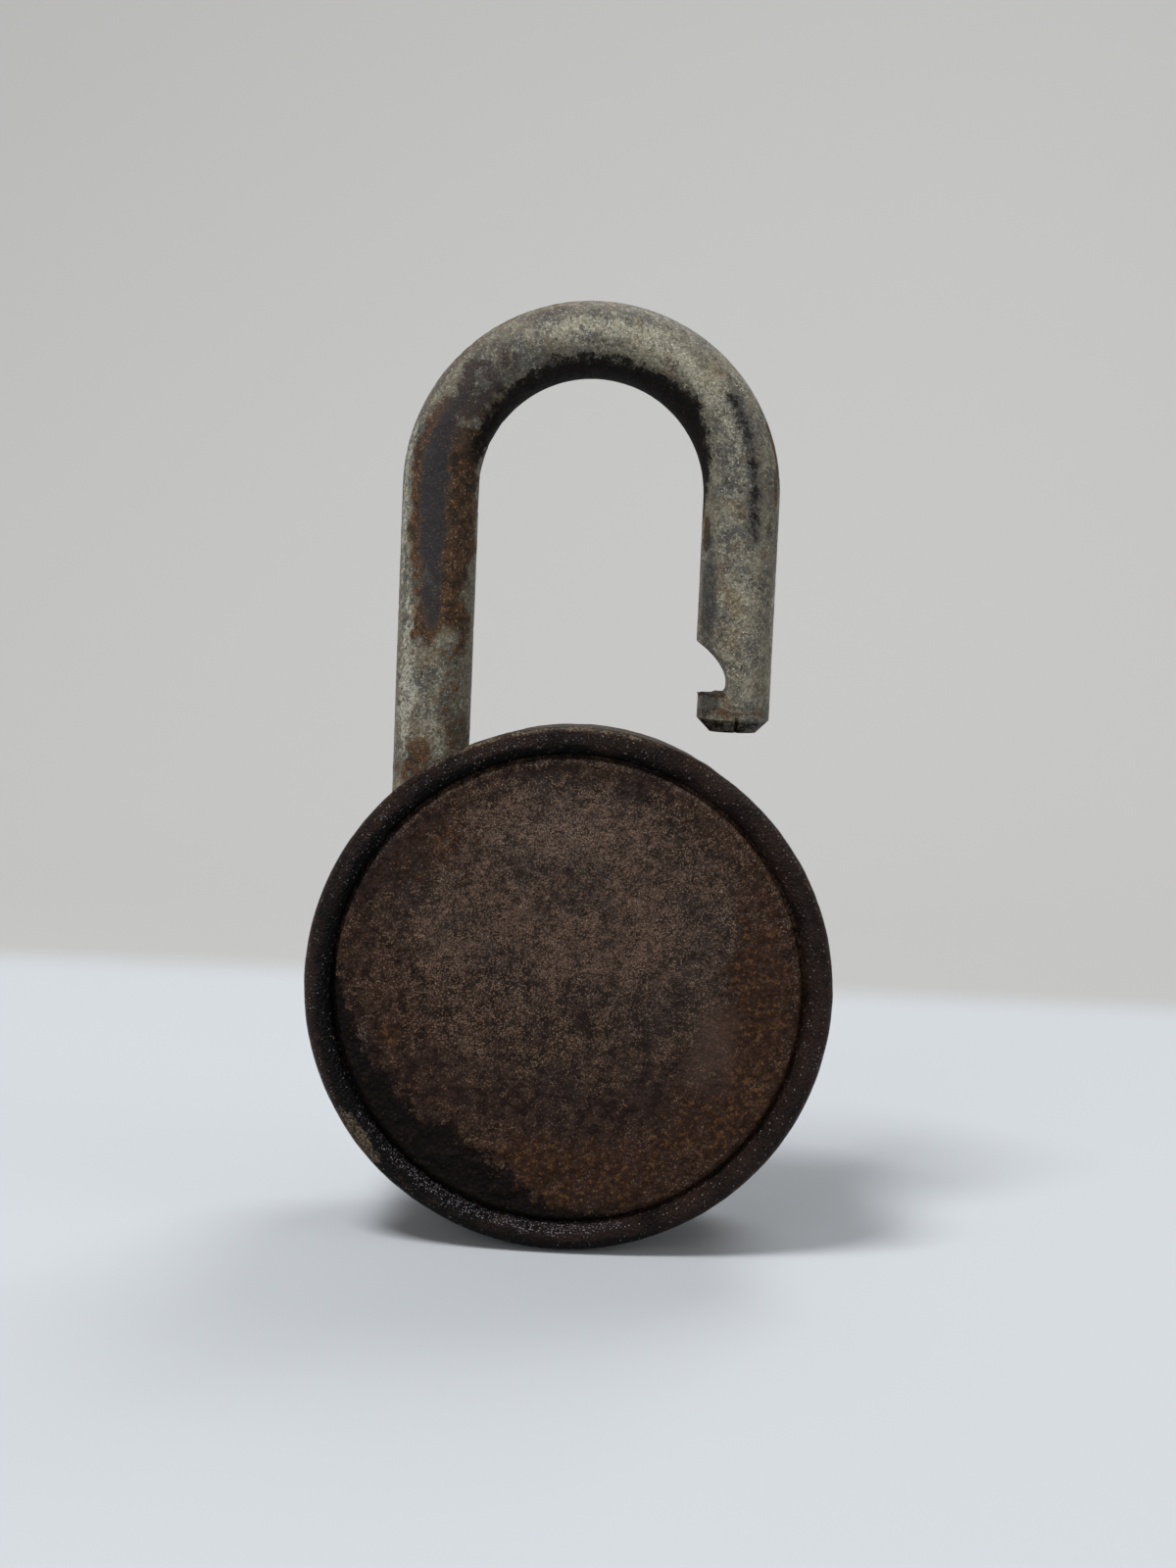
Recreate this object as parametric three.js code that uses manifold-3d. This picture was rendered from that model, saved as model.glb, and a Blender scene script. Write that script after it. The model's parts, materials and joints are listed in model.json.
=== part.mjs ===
// A round combination padlock with its shackle raised and open.
// Millimetres. +Z runs up along the shackle's legs, the back plate faces -Y, the dial faces +Y.
// The origin is the hanging point: the crown of the bow's inner side, in the middle of the rod.
import * as THREE from "three";
import { mergeVertices } from "three/addons/utils/BufferGeometryUtils.js";
import Module from "manifold-3d";

const wasm = await Module();
wasm.setup();

// Clearances
const SEAT = 0.3; // between pieces that sit on one another
const RUN = 0.15; // round a pin, post or tube that something turns on
const CUT_OVER = 1; // how far a cutter runs past what it cuts

// Shackle
const ROD_R = 3.57;
const BETWEEN_LEGS = 20.64;
const CLOSED_CLEARANCE = 19.05; // from the case's top to the bow when locked
const SHACKLE_TRAVEL = 12.3;
const TOE_LEG = 21.5; // bow centre to toe tip
const END_CHAMFER = 1.2;
const LEDGE_HEIGHT = 3.5; // toe tip to the notch's flat ledge
const NOTCH_DEPTH = 3.06;
const NOTCH_STRAIGHT = 0.75;
const NOTCH_HEIGHT = 4.8; // ledge to where the notch runs out
const LEDGE_FILLET = 0.6;
const GROOVE_DEPTH = 0.95;
const GROOVE_WIDTH = 2;
const GROOVE_FROM_END = 1.6;
const HOLE_CLEAR = 0.25;

// Heel collar and guide
const COLLAR_THICK = 1.4;
const COLLAR_PROUD = 1.03; // out past the rod
const COLLAR_GAP_DEG = 70;
const GUIDE_Z = 5.53; // underside of the guide, above the case's centre
const GUIDE_HEIGHT = 7.6;
const GUIDE_WALL = 1.6; // round the bore
const RIVET_R = 1;
const RIVET_LENGTH = 5;
const RIVET_SPREAD = 3.8; // from one rivet up to the other
const RIVET_SIDE = 2.5; // from the leg's axis in to the rivets

// Case, shield and back plate
const LEG_TO_RIM = 10.01; // from a leg's axis out to the rim's outer side
const RIM_TUBE_R = 1.3;
const RIM_WALL = 0.8;
const RIM_PROUD = 0.7; // how far the rim stands out from the drum
const SHEET = 0.95;
const FRONT_Y = 10.3;
const BACK_DEPTH = 10.25; // from the legs' plane back to the rim's crest
const FRONT_ROUND = 3;
const SHIELD_SHEET = 1;
const PLATE_SHEET = 1.1;
const PLATE_RECESS = 0.65; // from the rim's crest in to the plate's face
const PLATE_ROUND = 0.45;

// Wheel pack
const POST_R = 3;
const POST_FLANGE_R = 5;
const POST_FLANGE = 1;
const SPINDLE_R = 1.9;
const SPINDLE_HEAD_R = 3;
const SPINDLE_HEAD = 0.6;
const WHEEL_R = 8.8;
const WHEEL_THICK = 1.5;
const WHEEL_GAP = 1.4;
const WHEEL_COUNT = 3;
const WHEEL_1_BACK = 3.6; // from the legs' plane to the back of the wheel next to the drive cam
const CAM_R = 7.2;
const GATE_WIDTH = 3.2;
const GATE_DEPTH = 2.2;
const TAB_RADIUS = 6.2;
const TAB_WIDTH = 1.2;
const TAB_DEPTH = 1.6;
const CAM_TAB_DEG = 0;
const WHEEL_1_TAB_LEAD_DEG = 165;
const TAB_LEAD_DEG = -15;
const SPACER_R = 4.6;
const DISH_R = 7.2;
const DISH_SHEET = 0.4;

// Lever and pawl
const LEVER_POST_SIDE = 4.5; // from the spindle sideways to the lever's post
const LEVER_POST_DROP = 14; // from the spindle down to the lever's post
const LEVER_POST_R = 1.8;
const SLEEVE_WALL = 0.9;
const LEVER_CLEAR = 2.4; // wheel to the lever's inner edge
const LEVER_WIDTH = 4;
const LEVER_THICK = 1.8;
const LEVER_BOSS_R = 2.8;
const FENCE_WIDTH = 1.8;
const FENCE_CLEAR = 0.35;
const PAWL_PIVOT_IN = 2.88; // from the toe's inner side to the pawl's pivot
const PAWL_REACH = 11.63; // from the pawl's pivot up to the closed toe's ledge
const PAWL_PIN_R = 1.3;
const PAWL_PIN_HEAD_R = 2.1;
const PAWL_BOSS_R = 2.2;
const PAWL_THICK = 3.2;
const PAWL_ARM = 2.4;
const PAWL_BITE = 2.6; // how far the nose reaches over the ledge
const NOSE_HEIGHT = 2.05;
const PAWL_DRAWN_DEG = 12.5;
const CLIP_THICK = 0.8;
const CLIP_R = 3.2;
const CLIP_GROOVE = 0.5;
const STOP_R = 1;
const STOP_DEG = -25;
const PAWL_SPRING_ROOM = 2.6;
const PAWL_SPRING_TURNS = 2.5;
const PAWL_SPRING_START_DEG = 180;
const PAWL_WIRE_R = 0.25;
const LEVER_SPRING_LENGTH = 3;
const LEVER_SPRING_TURNS = 3.6;
const LEVER_SPRING_START_DEG = 20;
const LEVER_TAIL_DEG = -55; // where one tail lies on the lever
const WALL_TAIL_LEAD_DEG = -22.5; // where the other lies on the shield, from the lever's post
const LEVER_WIRE_R = 0.3;

// Dial side
const WASHER_R = 6.5;
const WASHER_SHEET = 0.4;
const DIAL_R = 17.2;
const DIAL_EDGE = 0.8;
const DIAL_BEVEL_R = 14.6;
const DIAL_THICK = 2;
const KNOB_R = 9.6;
const KNOB_TOP_R = 8.7;
const KNOB_COLLAR_R = 10.4;
const KNOB_COLLAR = 1;
const KNOB_HEIGHT = 8;
const KNOB_ROUND = 1;
const KNOB_FLUTES = 24;
const FLUTE_DEPTH = 0.45;
const KNOB_CAP = 1.4; // metal left over the spindle's end

// Places that follow from the sizes
const ROD = 2 * ROD_R;
const LEG_X = BETWEEN_LEGS / 2 + ROD_R;
const RIM_R = LEG_X + LEG_TO_RIM;
const BOW_Z = RIM_R + CLOSED_CLEARANCE + SHACKLE_TRAVEL - BETWEEN_LEGS / 2;
const HANG_Z = BOW_Z + BETWEEN_LEGS / 2;
const TOE_Z = BOW_Z - TOE_LEG;
const GROOVE_Z = GUIDE_Z - SEAT - COLLAR_THICK / 2;
const HEEL_Z = GROOVE_Z - GROOVE_WIDTH / 2 - GROOVE_FROM_END;
const LEDGE_CLOSED_Z = TOE_Z + LEDGE_HEIGHT - SHACKLE_TRAVEL;
const BORE_R = ROD_R + HOLE_CLEAR;
const DRUM_R = RIM_R - RIM_PROUD;
const DRUM_IN_R = DRUM_R - SHEET;
const SHIELD_R = DRUM_IN_R - SEAT;
const SHIELD_IN_R = SHIELD_R - SHIELD_SHEET;
const SHIELD_FRONT_Y = FRONT_Y - SHEET - SEAT;
const INSIDE_FRONT_Y = SHIELD_FRONT_Y - SHIELD_SHEET;
const BACK_Y = -BACK_DEPTH;
const RIM_Y = BACK_Y + RIM_TUBE_R;
const FLANGE_Y = RIM_Y + SEAT;
const PLATE_Y = BACK_Y + PLATE_RECESS;
const PLATE_R = RIM_R - 2 * RIM_TUBE_R - SEAT;
const PLATE_IN_Y = PLATE_Y + PLATE_SHEET;
const SHIELD_BACK_Y = FLANGE_Y + PLATE_SHEET + SEAT;
const POST_HOLE_R = POST_R + SEAT;
const POST_BORE_R = SPINDLE_R + RUN;
const WHEEL_BORE_R = POST_R + RUN;
const TAB_LENGTH = WHEEL_GAP - SEAT;
const WHEEL_1_Y = -WHEEL_1_BACK;
const CAM_Y = WHEEL_1_Y - WHEEL_GAP - WHEEL_THICK;
const LAST_WHEEL_Y = WHEEL_1_Y + WHEEL_COUNT * WHEEL_THICK + (WHEEL_COUNT - 1) * WHEEL_GAP;
const POST_FLANGE_Y = INSIDE_FRONT_Y - SEAT - POST_FLANGE;
const LEVER_POST = new THREE.Vector2(LEVER_POST_SIDE, -LEVER_POST_DROP);
const PAWL_PIVOT = new THREE.Vector2(BETWEEN_LEGS / 2 + PAWL_PIVOT_IN, LEDGE_CLOSED_Z - PAWL_REACH);
const LEVER_IN_R = WHEEL_R + LEVER_CLEAR;
const LEVER_R = LEVER_IN_R + LEVER_WIDTH;
const PAWL_Y = -PAWL_THICK / 2;
const LEVER_Y = PAWL_Y - SEAT - LEVER_THICK;
const SLEEVE_R = LEVER_POST_R + RUN + SLEEVE_WALL;
const DIAL_Y = FRONT_Y + 2 * SEAT + WASHER_SHEET;
const KNOB_Y = DIAL_Y + DIAL_THICK + SEAT;
const KNOB_TOP_Y = KNOB_Y + KNOB_HEIGHT;

// Where the line from the lever's post touches the wheels, the fence moves straight at their centre.
const FENCE_RAD = LEVER_POST.angle() + Math.acos(WHEEL_R / LEVER_POST.length());

// Segments round a turned piece, and steps along an arc or a wire
const FINE = 48;
const ROUND = 28;
const SMALL = 14;
const ARC_STEPS = 3;
const OUTLINE_STEPS = 16;
const ROD_SECTION_STEPS = 10;
const BOW_STEPS = 24;
const ROD_STEPS = 42;
const WIRE_STEPS = 44;
const TURN_STEPS = 12;
const FLUTE_STEPS = 4;
const MERGE = 1e-4; // corners closer than this are one

const FINISH = {
  rustedSteel: { color: 0x4a332a, roughness: 0.75, metalness: 0.55 },
  greySteel: { color: 0x77746f, roughness: 0.55, metalness: 0.8 },
  innerSteel: { color: 0x6b5f55, roughness: 0.6, metalness: 0.7 },
  brass: { color: 0x8d7443, roughness: 0.5, metalness: 0.8 },
  spring: { color: 0x5c5a58, roughness: 0.45, metalness: 0.85 },
  blackDial: { color: 0x1d1c1b, roughness: 0.5, metalness: 0.3 },
};

const lock = new THREE.Group();
lock.position.z = -HANG_Z;

/** Puts a named mesh into the lock. */
function addPart(name, body, finish, place = [0, 0, 0]) {
  const mesh = new THREE.Mesh(geometryOf(body), new THREE.MeshStandardMaterial(finish));
  mesh.name = name;
  mesh.position.set(...place);
  lock.add(mesh);
  return mesh;
}

/** A closed geometry as a solid to cut and join, with its faces pointing out. */
function solid(geometry) {
  const bare = geometry.index ? geometry.toNonIndexed() : geometry.clone();
  bare.deleteAttribute("normal");
  bare.deleteAttribute("uv");
  const merged = mergeVertices(bare, MERGE);
  const corners = [];
  for (let i = 0; i < merged.index.count; i += 3) {
    const [a, b, c] = [0, 1, 2].map((k) => merged.index.getX(i + k));
    if (a !== b && b !== c && c !== a) corners.push(a, b, c);
  }
  const build = (triVerts) =>
    new wasm.Manifold(
      new wasm.Mesh({
        numProp: 3,
        vertProperties: new Float32Array(merged.attributes.position.array),
        triVerts: new Uint32Array(triVerts),
      }),
    );
  const made = build(corners);
  return made.volume() < 0 ? build(corners.reverse()) : made;
}

/** A solid as a geometry with flat faces. */
function geometryOf(body) {
  const { vertProperties, triVerts, numProp } = body.getMesh();
  const geometry = new THREE.BufferGeometry();
  geometry.setAttribute("position", new THREE.BufferAttribute(vertProperties, numProp));
  geometry.setIndex(new THREE.BufferAttribute(triVerts, 1));
  geometry.computeVertexNormals();
  return geometry;
}

/** A profile of radius against height turned round the Y axis. It closes on itself or on the axis. */
function turned(profile, segments = ROUND) {
  const points = profile instanceof THREE.Path ? profile.getPoints(ARC_STEPS) : profile;
  const first = points[0];
  const last = points[points.length - 1];
  if (first.distanceTo(last) > MERGE && Math.max(first.x, last.x) > MERGE) points.push(first.clone());
  const area = THREE.ShapeUtils.area(points);
  return solid(new THREE.LatheGeometry(area < 0 ? points.reverse() : points, segments));
}

/** A ring or disc about the Y axis, from one height to another. */
function ring(innerR, outerR, fromY, toY, segments = ROUND) {
  const corners = [
    [innerR, fromY],
    [outerR, fromY],
    [outerR, toY],
    [innerR, toY],
  ];
  return turned(corners.map(([r, y]) => new THREE.Vector2(r, y)), segments);
}

/** An outline in X and Z, given thickness along Y. */
function plate(outline, fromY, toY, curveSegments = 8) {
  const shape = { depth: toY - fromY, bevelEnabled: false, curveSegments };
  const geometry = new THREE.ExtrudeGeometry(outline, shape);
  return solid(geometry.rotateX(Math.PI / 2).translate(0, toY, 0));
}

/** A block with its low corner and its high corner given. */
function block([x0, y0, z0], [x1, y1, z1]) {
  const box = new THREE.BoxGeometry(x1 - x0, y1 - y0, z1 - z0);
  return solid(box.translate((x0 + x1) / 2, (y0 + y1) / 2, (z0 + z1) / 2));
}

/** A body turned about the Y axis by an angle that runs from +Z towards +X. */
function spun(body, degrees) {
  return body.rotate([0, degrees, 0]);
}

/** A ring with its axis along Z, centred on a leg of the shackle. */
function legRing(innerR, outerR, fromZ, toZ, legX) {
  return ring(innerR, outerR, fromZ, toZ).rotate([90, 0, 0]).translate([legX, 0, 0]);
}

/** A wire along a curve. */
function wire(points, radius, steps) {
  const section = new THREE.Shape().absarc(0, 0, radius, 0, 2 * Math.PI);
  const extrudePath = new THREE.CatmullRomCurve3(points);
  return solid(new THREE.ExtrudeGeometry(section, { extrudePath, steps, curveSegments: ARC_STEPS }));
}

/** Points of a coil about the Y axis, with a straight tail at each end. */
function coil({ centre, radius, fromY, toY, turns, startDeg, tails }) {
  const count = Math.ceil(turns * TURN_STEPS);
  const points = [];
  for (let i = 0; i <= count; i += 1) {
    const angle = THREE.MathUtils.degToRad(startDeg) + (2 * Math.PI * turns * i) / count;
    const y = fromY + ((toY - fromY) * i) / count;
    points.push(
      new THREE.Vector3(centre.x + radius * Math.cos(angle), y, centre.y + radius * Math.sin(angle)),
    );
  }
  const [startTail, endTail] = tails.map(([x, z], i) => new THREE.Vector3(x, i ? toY : fromY, z));
  return [startTail, ...points, endTail];
}

/** The drawn cup: front wall with the spindle's hole, drum, and the rim rolled over the back plate. */
function outerCase() {
  const rimR = RIM_R - RIM_TUBE_R;
  const meet = Math.asin((RIM_TUBE_R - RIM_PROUD) / RIM_TUBE_R);
  const roundR = DRUM_R - FRONT_ROUND;
  const roundY = FRONT_Y - FRONT_ROUND;
  const profile = new THREE.Path();
  profile.moveTo(POST_HOLE_R, FRONT_Y);
  profile.lineTo(POST_HOLE_R, FRONT_Y - SHEET);
  profile.lineTo(roundR, FRONT_Y - SHEET);
  profile.absarc(roundR, roundY, FRONT_ROUND - SHEET, Math.PI / 2, 0, true);
  profile.lineTo(DRUM_IN_R, RIM_Y + RIM_TUBE_R);
  profile.lineTo(rimR + RIM_TUBE_R - RIM_WALL, RIM_Y);
  profile.absarc(rimR, RIM_Y, RIM_TUBE_R - RIM_WALL, 0, -Math.PI, true);
  profile.lineTo(rimR - RIM_TUBE_R, RIM_Y);
  profile.absarc(rimR, RIM_Y, RIM_TUBE_R, -Math.PI, Math.PI / 2 - meet, false);
  profile.lineTo(DRUM_R, roundY);
  profile.absarc(roundR, roundY, FRONT_ROUND, 0, Math.PI / 2, false);
  return cutLegHoles(turned(profile, FINE));
}

/** Cuts the two holes that the shackle's legs pass through in the upper half of a drum. */
function cutLegHoles(body) {
  const hole = (x) => legRing(0, BORE_R, 0, RIM_R, x);
  return body.subtract(hole(-LEG_X)).subtract(hole(LEG_X));
}

/** The second cup, which the mechanism is fixed to. */
function innerShield() {
  const profile = [
    [POST_HOLE_R, INSIDE_FRONT_Y],
    [SHIELD_IN_R - SHIELD_SHEET, INSIDE_FRONT_Y],
    [SHIELD_IN_R, INSIDE_FRONT_Y - SHIELD_SHEET],
    [SHIELD_IN_R, SHIELD_BACK_Y],
    [SHIELD_R, SHIELD_BACK_Y],
    [SHIELD_R, SHIELD_FRONT_Y - FRONT_ROUND],
    [SHIELD_R - FRONT_ROUND + SHIELD_SHEET, SHIELD_FRONT_Y],
    [POST_HOLE_R, SHIELD_FRONT_Y],
  ];
  const cup = turned(profile.map(([r, y]) => new THREE.Vector2(r, y)), FINE);
  const holes = [
    frontHole(LEVER_POST, LEVER_POST_R),
    frontHole(stopPlace(), STOP_R),
    ...rivetPlaces().map((place) => frontHole(place, RIVET_R)),
  ];
  return holes.reduce((body, hole) => body.subtract(hole), cutLegHoles(cup));
}

/** A hole through the shield's front wall round a pin at a place in X and Z. */
function frontHole(place, pinR) {
  return ring(0, pinR + SEAT, 0, FRONT_Y, SMALL).translate([place.x, 0, place.y]);
}

/** The pressed disc: raised face, rounded edge, and a flange under the rim. */
function backPlate() {
  const profile = new THREE.Path();
  profile.moveTo(0, PLATE_IN_Y);
  profile.lineTo(0, PLATE_Y);
  profile.lineTo(PLATE_R - PLATE_ROUND, PLATE_Y);
  profile.absarc(PLATE_R - PLATE_ROUND, PLATE_Y + PLATE_ROUND, PLATE_ROUND, -Math.PI / 2, 0, false);
  profile.lineTo(PLATE_R, FLANGE_Y);
  profile.lineTo(SHIELD_R, FLANGE_Y);
  profile.lineTo(SHIELD_R, FLANGE_Y + PLATE_SHEET);
  profile.lineTo(PLATE_R - PLATE_SHEET, FLANGE_Y + PLATE_SHEET);
  profile.lineTo(PLATE_R - PLATE_SHEET, PLATE_IN_Y);
  return turned(profile, FINE);
}

/** The bent rod, with the heel's groove, the toe's notch and chamfered ends. */
function shackle() {
  const bowR = LEG_X;
  const path = new THREE.CurvePath();
  const at = (x, z) => new THREE.Vector3(x, 0, z);
  const bow = [];
  for (let i = 0; i <= BOW_STEPS; i += 1) {
    const angle = Math.PI * (1 - i / BOW_STEPS);
    bow.push(at(bowR * Math.cos(angle), BOW_Z + bowR * Math.sin(angle)));
  }
  path.add(new THREE.LineCurve3(at(-LEG_X, HEEL_Z), bow[0]));
  bow.slice(1).forEach((point, i) => path.add(new THREE.LineCurve3(bow[i], point)));
  path.add(new THREE.LineCurve3(bow[BOW_STEPS], at(LEG_X, TOE_Z)));
  const section = new THREE.Shape().absarc(0, 0, ROD_R, 0, 2 * Math.PI);
  const sweep = { extrudePath: path, steps: ROD_STEPS, curveSegments: ROD_SECTION_STEPS };
  const rod = solid(new THREE.ExtrudeGeometry(section, sweep));
  const grooveLow = GROOVE_Z - GROOVE_WIDTH / 2;
  const groove = legRing(ROD_R - GROOVE_DEPTH, ROD, grooveLow, grooveLow + GROOVE_WIDTH, -LEG_X);
  return rod
    .subtract(groove)
    .subtract(endChamfer(-LEG_X, HEEL_Z))
    .subtract(endChamfer(LEG_X, TOE_Z))
    .subtract(toeNotch());
}

/** What a chamfer takes off a leg's lower end. */
function endChamfer(legX, endZ) {
  const slope = [
    [ROD_R - END_CHAMFER - CUT_OVER, -CUT_OVER],
    [ROD_R + CUT_OVER, -CUT_OVER],
    [ROD_R + CUT_OVER, END_CHAMFER + CUT_OVER],
  ];
  const cutter = turned(slope.map(([r, y]) => new THREE.Vector2(r, y)));
  return cutter.rotate([90, 0, 0]).translate([legX, 0, endZ]);
}

/** What the notch takes off the toe: a flat ledge, a straight back, and a sweep up to the leg's side. */
function toeNotch() {
  const edge = LEG_X - ROD_R;
  const back = edge + NOTCH_DEPTH;
  const ledge = TOE_Z + LEDGE_HEIGHT;
  const bend = ledge + NOTCH_STRAIGHT;
  const top = ledge + NOTCH_HEIGHT;
  const outline = new THREE.Shape();
  outline.moveTo(edge - ROD_R, ledge);
  outline.lineTo(back - LEDGE_FILLET, ledge);
  outline.quadraticCurveTo(back, ledge, back, ledge + LEDGE_FILLET);
  outline.lineTo(back, bend);
  outline.quadraticCurveTo(back, (bend + top) / 2, edge, top);
  outline.lineTo(edge - ROD_R, top);
  return plate(outline, -ROD, ROD);
}

/** The open ring in the heel's groove. */
function heelCollar() {
  const innerR = ROD_R - GROOVE_DEPTH + RUN;
  return openRing(innerR, ROD_R + COLLAR_PROUD, COLLAR_THICK, COLLAR_GAP_DEG).rotate([90, 0, 0]);
}

/** A flat ring with a gap, centred on the origin, with its axis along Y. */
function openRing(innerR, outerR, thick, gapDeg) {
  const half = THREE.MathUtils.degToRad(gapDeg / 2);
  const outline = new THREE.Shape();
  outline.absarc(0, 0, outerR, half, 2 * Math.PI - half, false);
  outline.absarc(0, 0, innerR, 2 * Math.PI - half, half, true);
  return plate(outline, -thick / 2, thick / 2, OUTLINE_STEPS);
}

/** The block that the heel slides in, with its underside as the collar's stop. */
function heelGuide() {
  const top = GUIDE_Z + GUIDE_HEIGHT;
  const side = BORE_R + GUIDE_WALL;
  const body = block([-SHIELD_IN_R, -side, GUIDE_Z], [side - LEG_X, INSIDE_FRONT_Y, top]);
  const bore = legRing(0, BORE_R, GUIDE_Z - CUT_OVER, top + CUT_OVER, -LEG_X);
  const guide = body.intersect(shieldRoom()).subtract(bore);
  const socketY = SHIELD_FRONT_Y - RIVET_LENGTH - SEAT;
  const sockets = rivetPlaces().map((place) =>
    ring(0, RIVET_R + SEAT, socketY, FRONT_Y, SMALL).translate([place.x, 0, place.y]),
  );
  return sockets.reduce((rest, socket) => rest.subtract(socket), guide);
}

/** The room inside the shield, less the clearance that seated pieces keep to its walls. */
function shieldRoom() {
  const sideR = SHIELD_IN_R - SEAT;
  const frontY = INSIDE_FRONT_Y - SEAT;
  const profile = [
    [0, PLATE_IN_Y],
    [sideR, PLATE_IN_Y],
    [sideR, frontY - SHIELD_SHEET],
    [sideR - SHIELD_SHEET, frontY],
    [0, frontY],
  ];
  return turned(profile.map(([r, y]) => new THREE.Vector2(r, y)), FINE);
}

/** Where the guide's two rivets stand, in X and Z, one over the other. */
function rivetPlaces() {
  const z = GUIDE_Z + GUIDE_HEIGHT / 2;
  return [-1, 1].map((side) => new THREE.Vector2(RIVET_SIDE - LEG_X, z + (side * RIVET_SPREAD) / 2));
}

/** Where the lever's stop pin stands, in X and Z. */
function stopPlace() {
  const reach = LEVER_R + SEAT + STOP_R;
  const angle = THREE.MathUtils.degToRad(STOP_DEG);
  return new THREE.Vector2(reach * Math.cos(angle), reach * Math.sin(angle));
}

/** The post that the lever turns on, grooved for its clip. */
function leverPost() {
  const clipY = LEVER_Y - SEAT - CLIP_THICK;
  const post = ring(0, LEVER_POST_R, PLATE_IN_Y + SEAT, SHIELD_FRONT_Y, SMALL);
  const clipFrontY = clipY + CLIP_THICK;
  const grooveR = LEVER_POST_R - CLIP_GROOVE;
  return post.subtract(ring(grooveR, 2 * LEVER_POST_R, clipY - RUN, clipFrontY + RUN, SMALL));
}

/** The curved lever, with its two bosses and the fence that reaches across the wheels. */
function fenceLever() {
  const band = new THREE.Shape();
  band.absarc(0, 0, LEVER_R, LEVER_POST.angle() - 2 * Math.PI, PAWL_PIVOT.angle(), false);
  band.absarc(0, 0, LEVER_IN_R, PAWL_PIVOT.angle(), LEVER_POST.angle() - 2 * Math.PI, true);
  const front = LEVER_Y + LEVER_THICK;
  const disc = (place, r) => ring(0, r, LEVER_Y, front, SMALL).translate([place.x, 0, place.y]);
  const fence = block(
    [WHEEL_R + FENCE_CLEAR, LEVER_Y, -FENCE_WIDTH / 2],
    [LEVER_IN_R + FENCE_WIDTH, LAST_WHEEL_Y + RUN, FENCE_WIDTH / 2],
  ).rotate([0, THREE.MathUtils.radToDeg(-FENCE_RAD), 0]);
  const holes = [
    disc(LEVER_POST, LEVER_POST_R + RUN),
    disc(PAWL_PIVOT, PAWL_PIN_R + RUN),
  ];
  return plate(band, LEVER_Y, front, OUTLINE_STEPS)
    .add(disc(LEVER_POST, LEVER_BOSS_R))
    .add(disc(PAWL_PIVOT, PAWL_BOSS_R))
    .add(fence)
    .subtract(holes[0])
    .subtract(holes[1]);
}

/** The hooked pawl about its pivot, as it stands when its nose is over the toe's ledge. */
function latchPawl() {
  const { x, y } = PAWL_PIVOT;
  const side = BETWEEN_LEGS / 2 - SEAT;
  const noseZ = LEDGE_CLOSED_Z + HOLE_CLEAR;
  const noseX = BETWEEN_LEGS / 2 + PAWL_BITE;
  const shoulderZ = LEDGE_CLOSED_Z - LEDGE_HEIGHT - SEAT;
  const corners = [
    [x - PAWL_BOSS_R + SEAT, y],
    [x + PAWL_BOSS_R - SEAT, y],
    [x, y + 2 * PAWL_BOSS_R],
    [side, shoulderZ],
    [side, noseZ],
    [noseX, noseZ],
    [noseX, noseZ + NOSE_HEIGHT / 2],
    [side, noseZ + NOSE_HEIGHT],
    [side - PAWL_ARM / 2, noseZ + NOSE_HEIGHT],
    [side - PAWL_ARM, noseZ + NOSE_HEIGHT / 2],
    [side - PAWL_ARM, shoulderZ],
  ];
  const outline = new THREE.Shape(corners.map(([cx, cz]) => new THREE.Vector2(cx - x, cz - y)));
  return plate(outline, PAWL_Y, -PAWL_Y)
    .add(ring(0, PAWL_BOSS_R, PAWL_Y, -PAWL_Y, SMALL))
    .subtract(ring(0, PAWL_PIN_R + RUN, PAWL_Y - CUT_OVER, CUT_OVER - PAWL_Y, SMALL));
}

/** The rivet through lever, pawl and the pawl's spring. */
function pawlPin() {
  const back = LEVER_Y - SEAT;
  const front = -PAWL_Y + SEAT + PAWL_SPRING_ROOM;
  const head = 2 * SEAT;
  return ring(0, PAWL_PIN_R, back - head, front + head, SMALL)
    .add(ring(0, PAWL_PIN_HEAD_R, back - head, back, SMALL))
    .add(ring(0, PAWL_PIN_HEAD_R, front, front + head, SMALL));
}

/** The pawl's spring: a coil round the pin, one tail on the pawl's arm and one on the fence. */
function pawlSpring() {
  const radius = PAWL_PIN_R + SEAT + PAWL_WIRE_R;
  const fromY = -PAWL_Y + SEAT + PAWL_WIRE_R;
  const arm = new THREE.Vector2(-radius, 2 * PAWL_BOSS_R);
  arm.rotateAround(new THREE.Vector2(), THREE.MathUtils.degToRad(PAWL_DRAWN_DEG));
  const fence = new THREE.Vector2(LEVER_IN_R + FENCE_WIDTH, FENCE_WIDTH / 2 + SEAT + PAWL_WIRE_R);
  fence.rotateAround(new THREE.Vector2(), FENCE_RAD);
  const points = coil({
    centre: PAWL_PIVOT,
    radius,
    fromY,
    toY: fromY + PAWL_SPRING_ROOM - SEAT - 2 * PAWL_WIRE_R,
    turns: PAWL_SPRING_TURNS,
    startDeg: PAWL_SPRING_START_DEG,
    tails: [
      [PAWL_PIVOT.x + arm.x, PAWL_PIVOT.y + arm.y],
      [fence.x, fence.y],
    ],
  });
  return wire(points, PAWL_WIRE_R, WIRE_STEPS);
}

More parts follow.
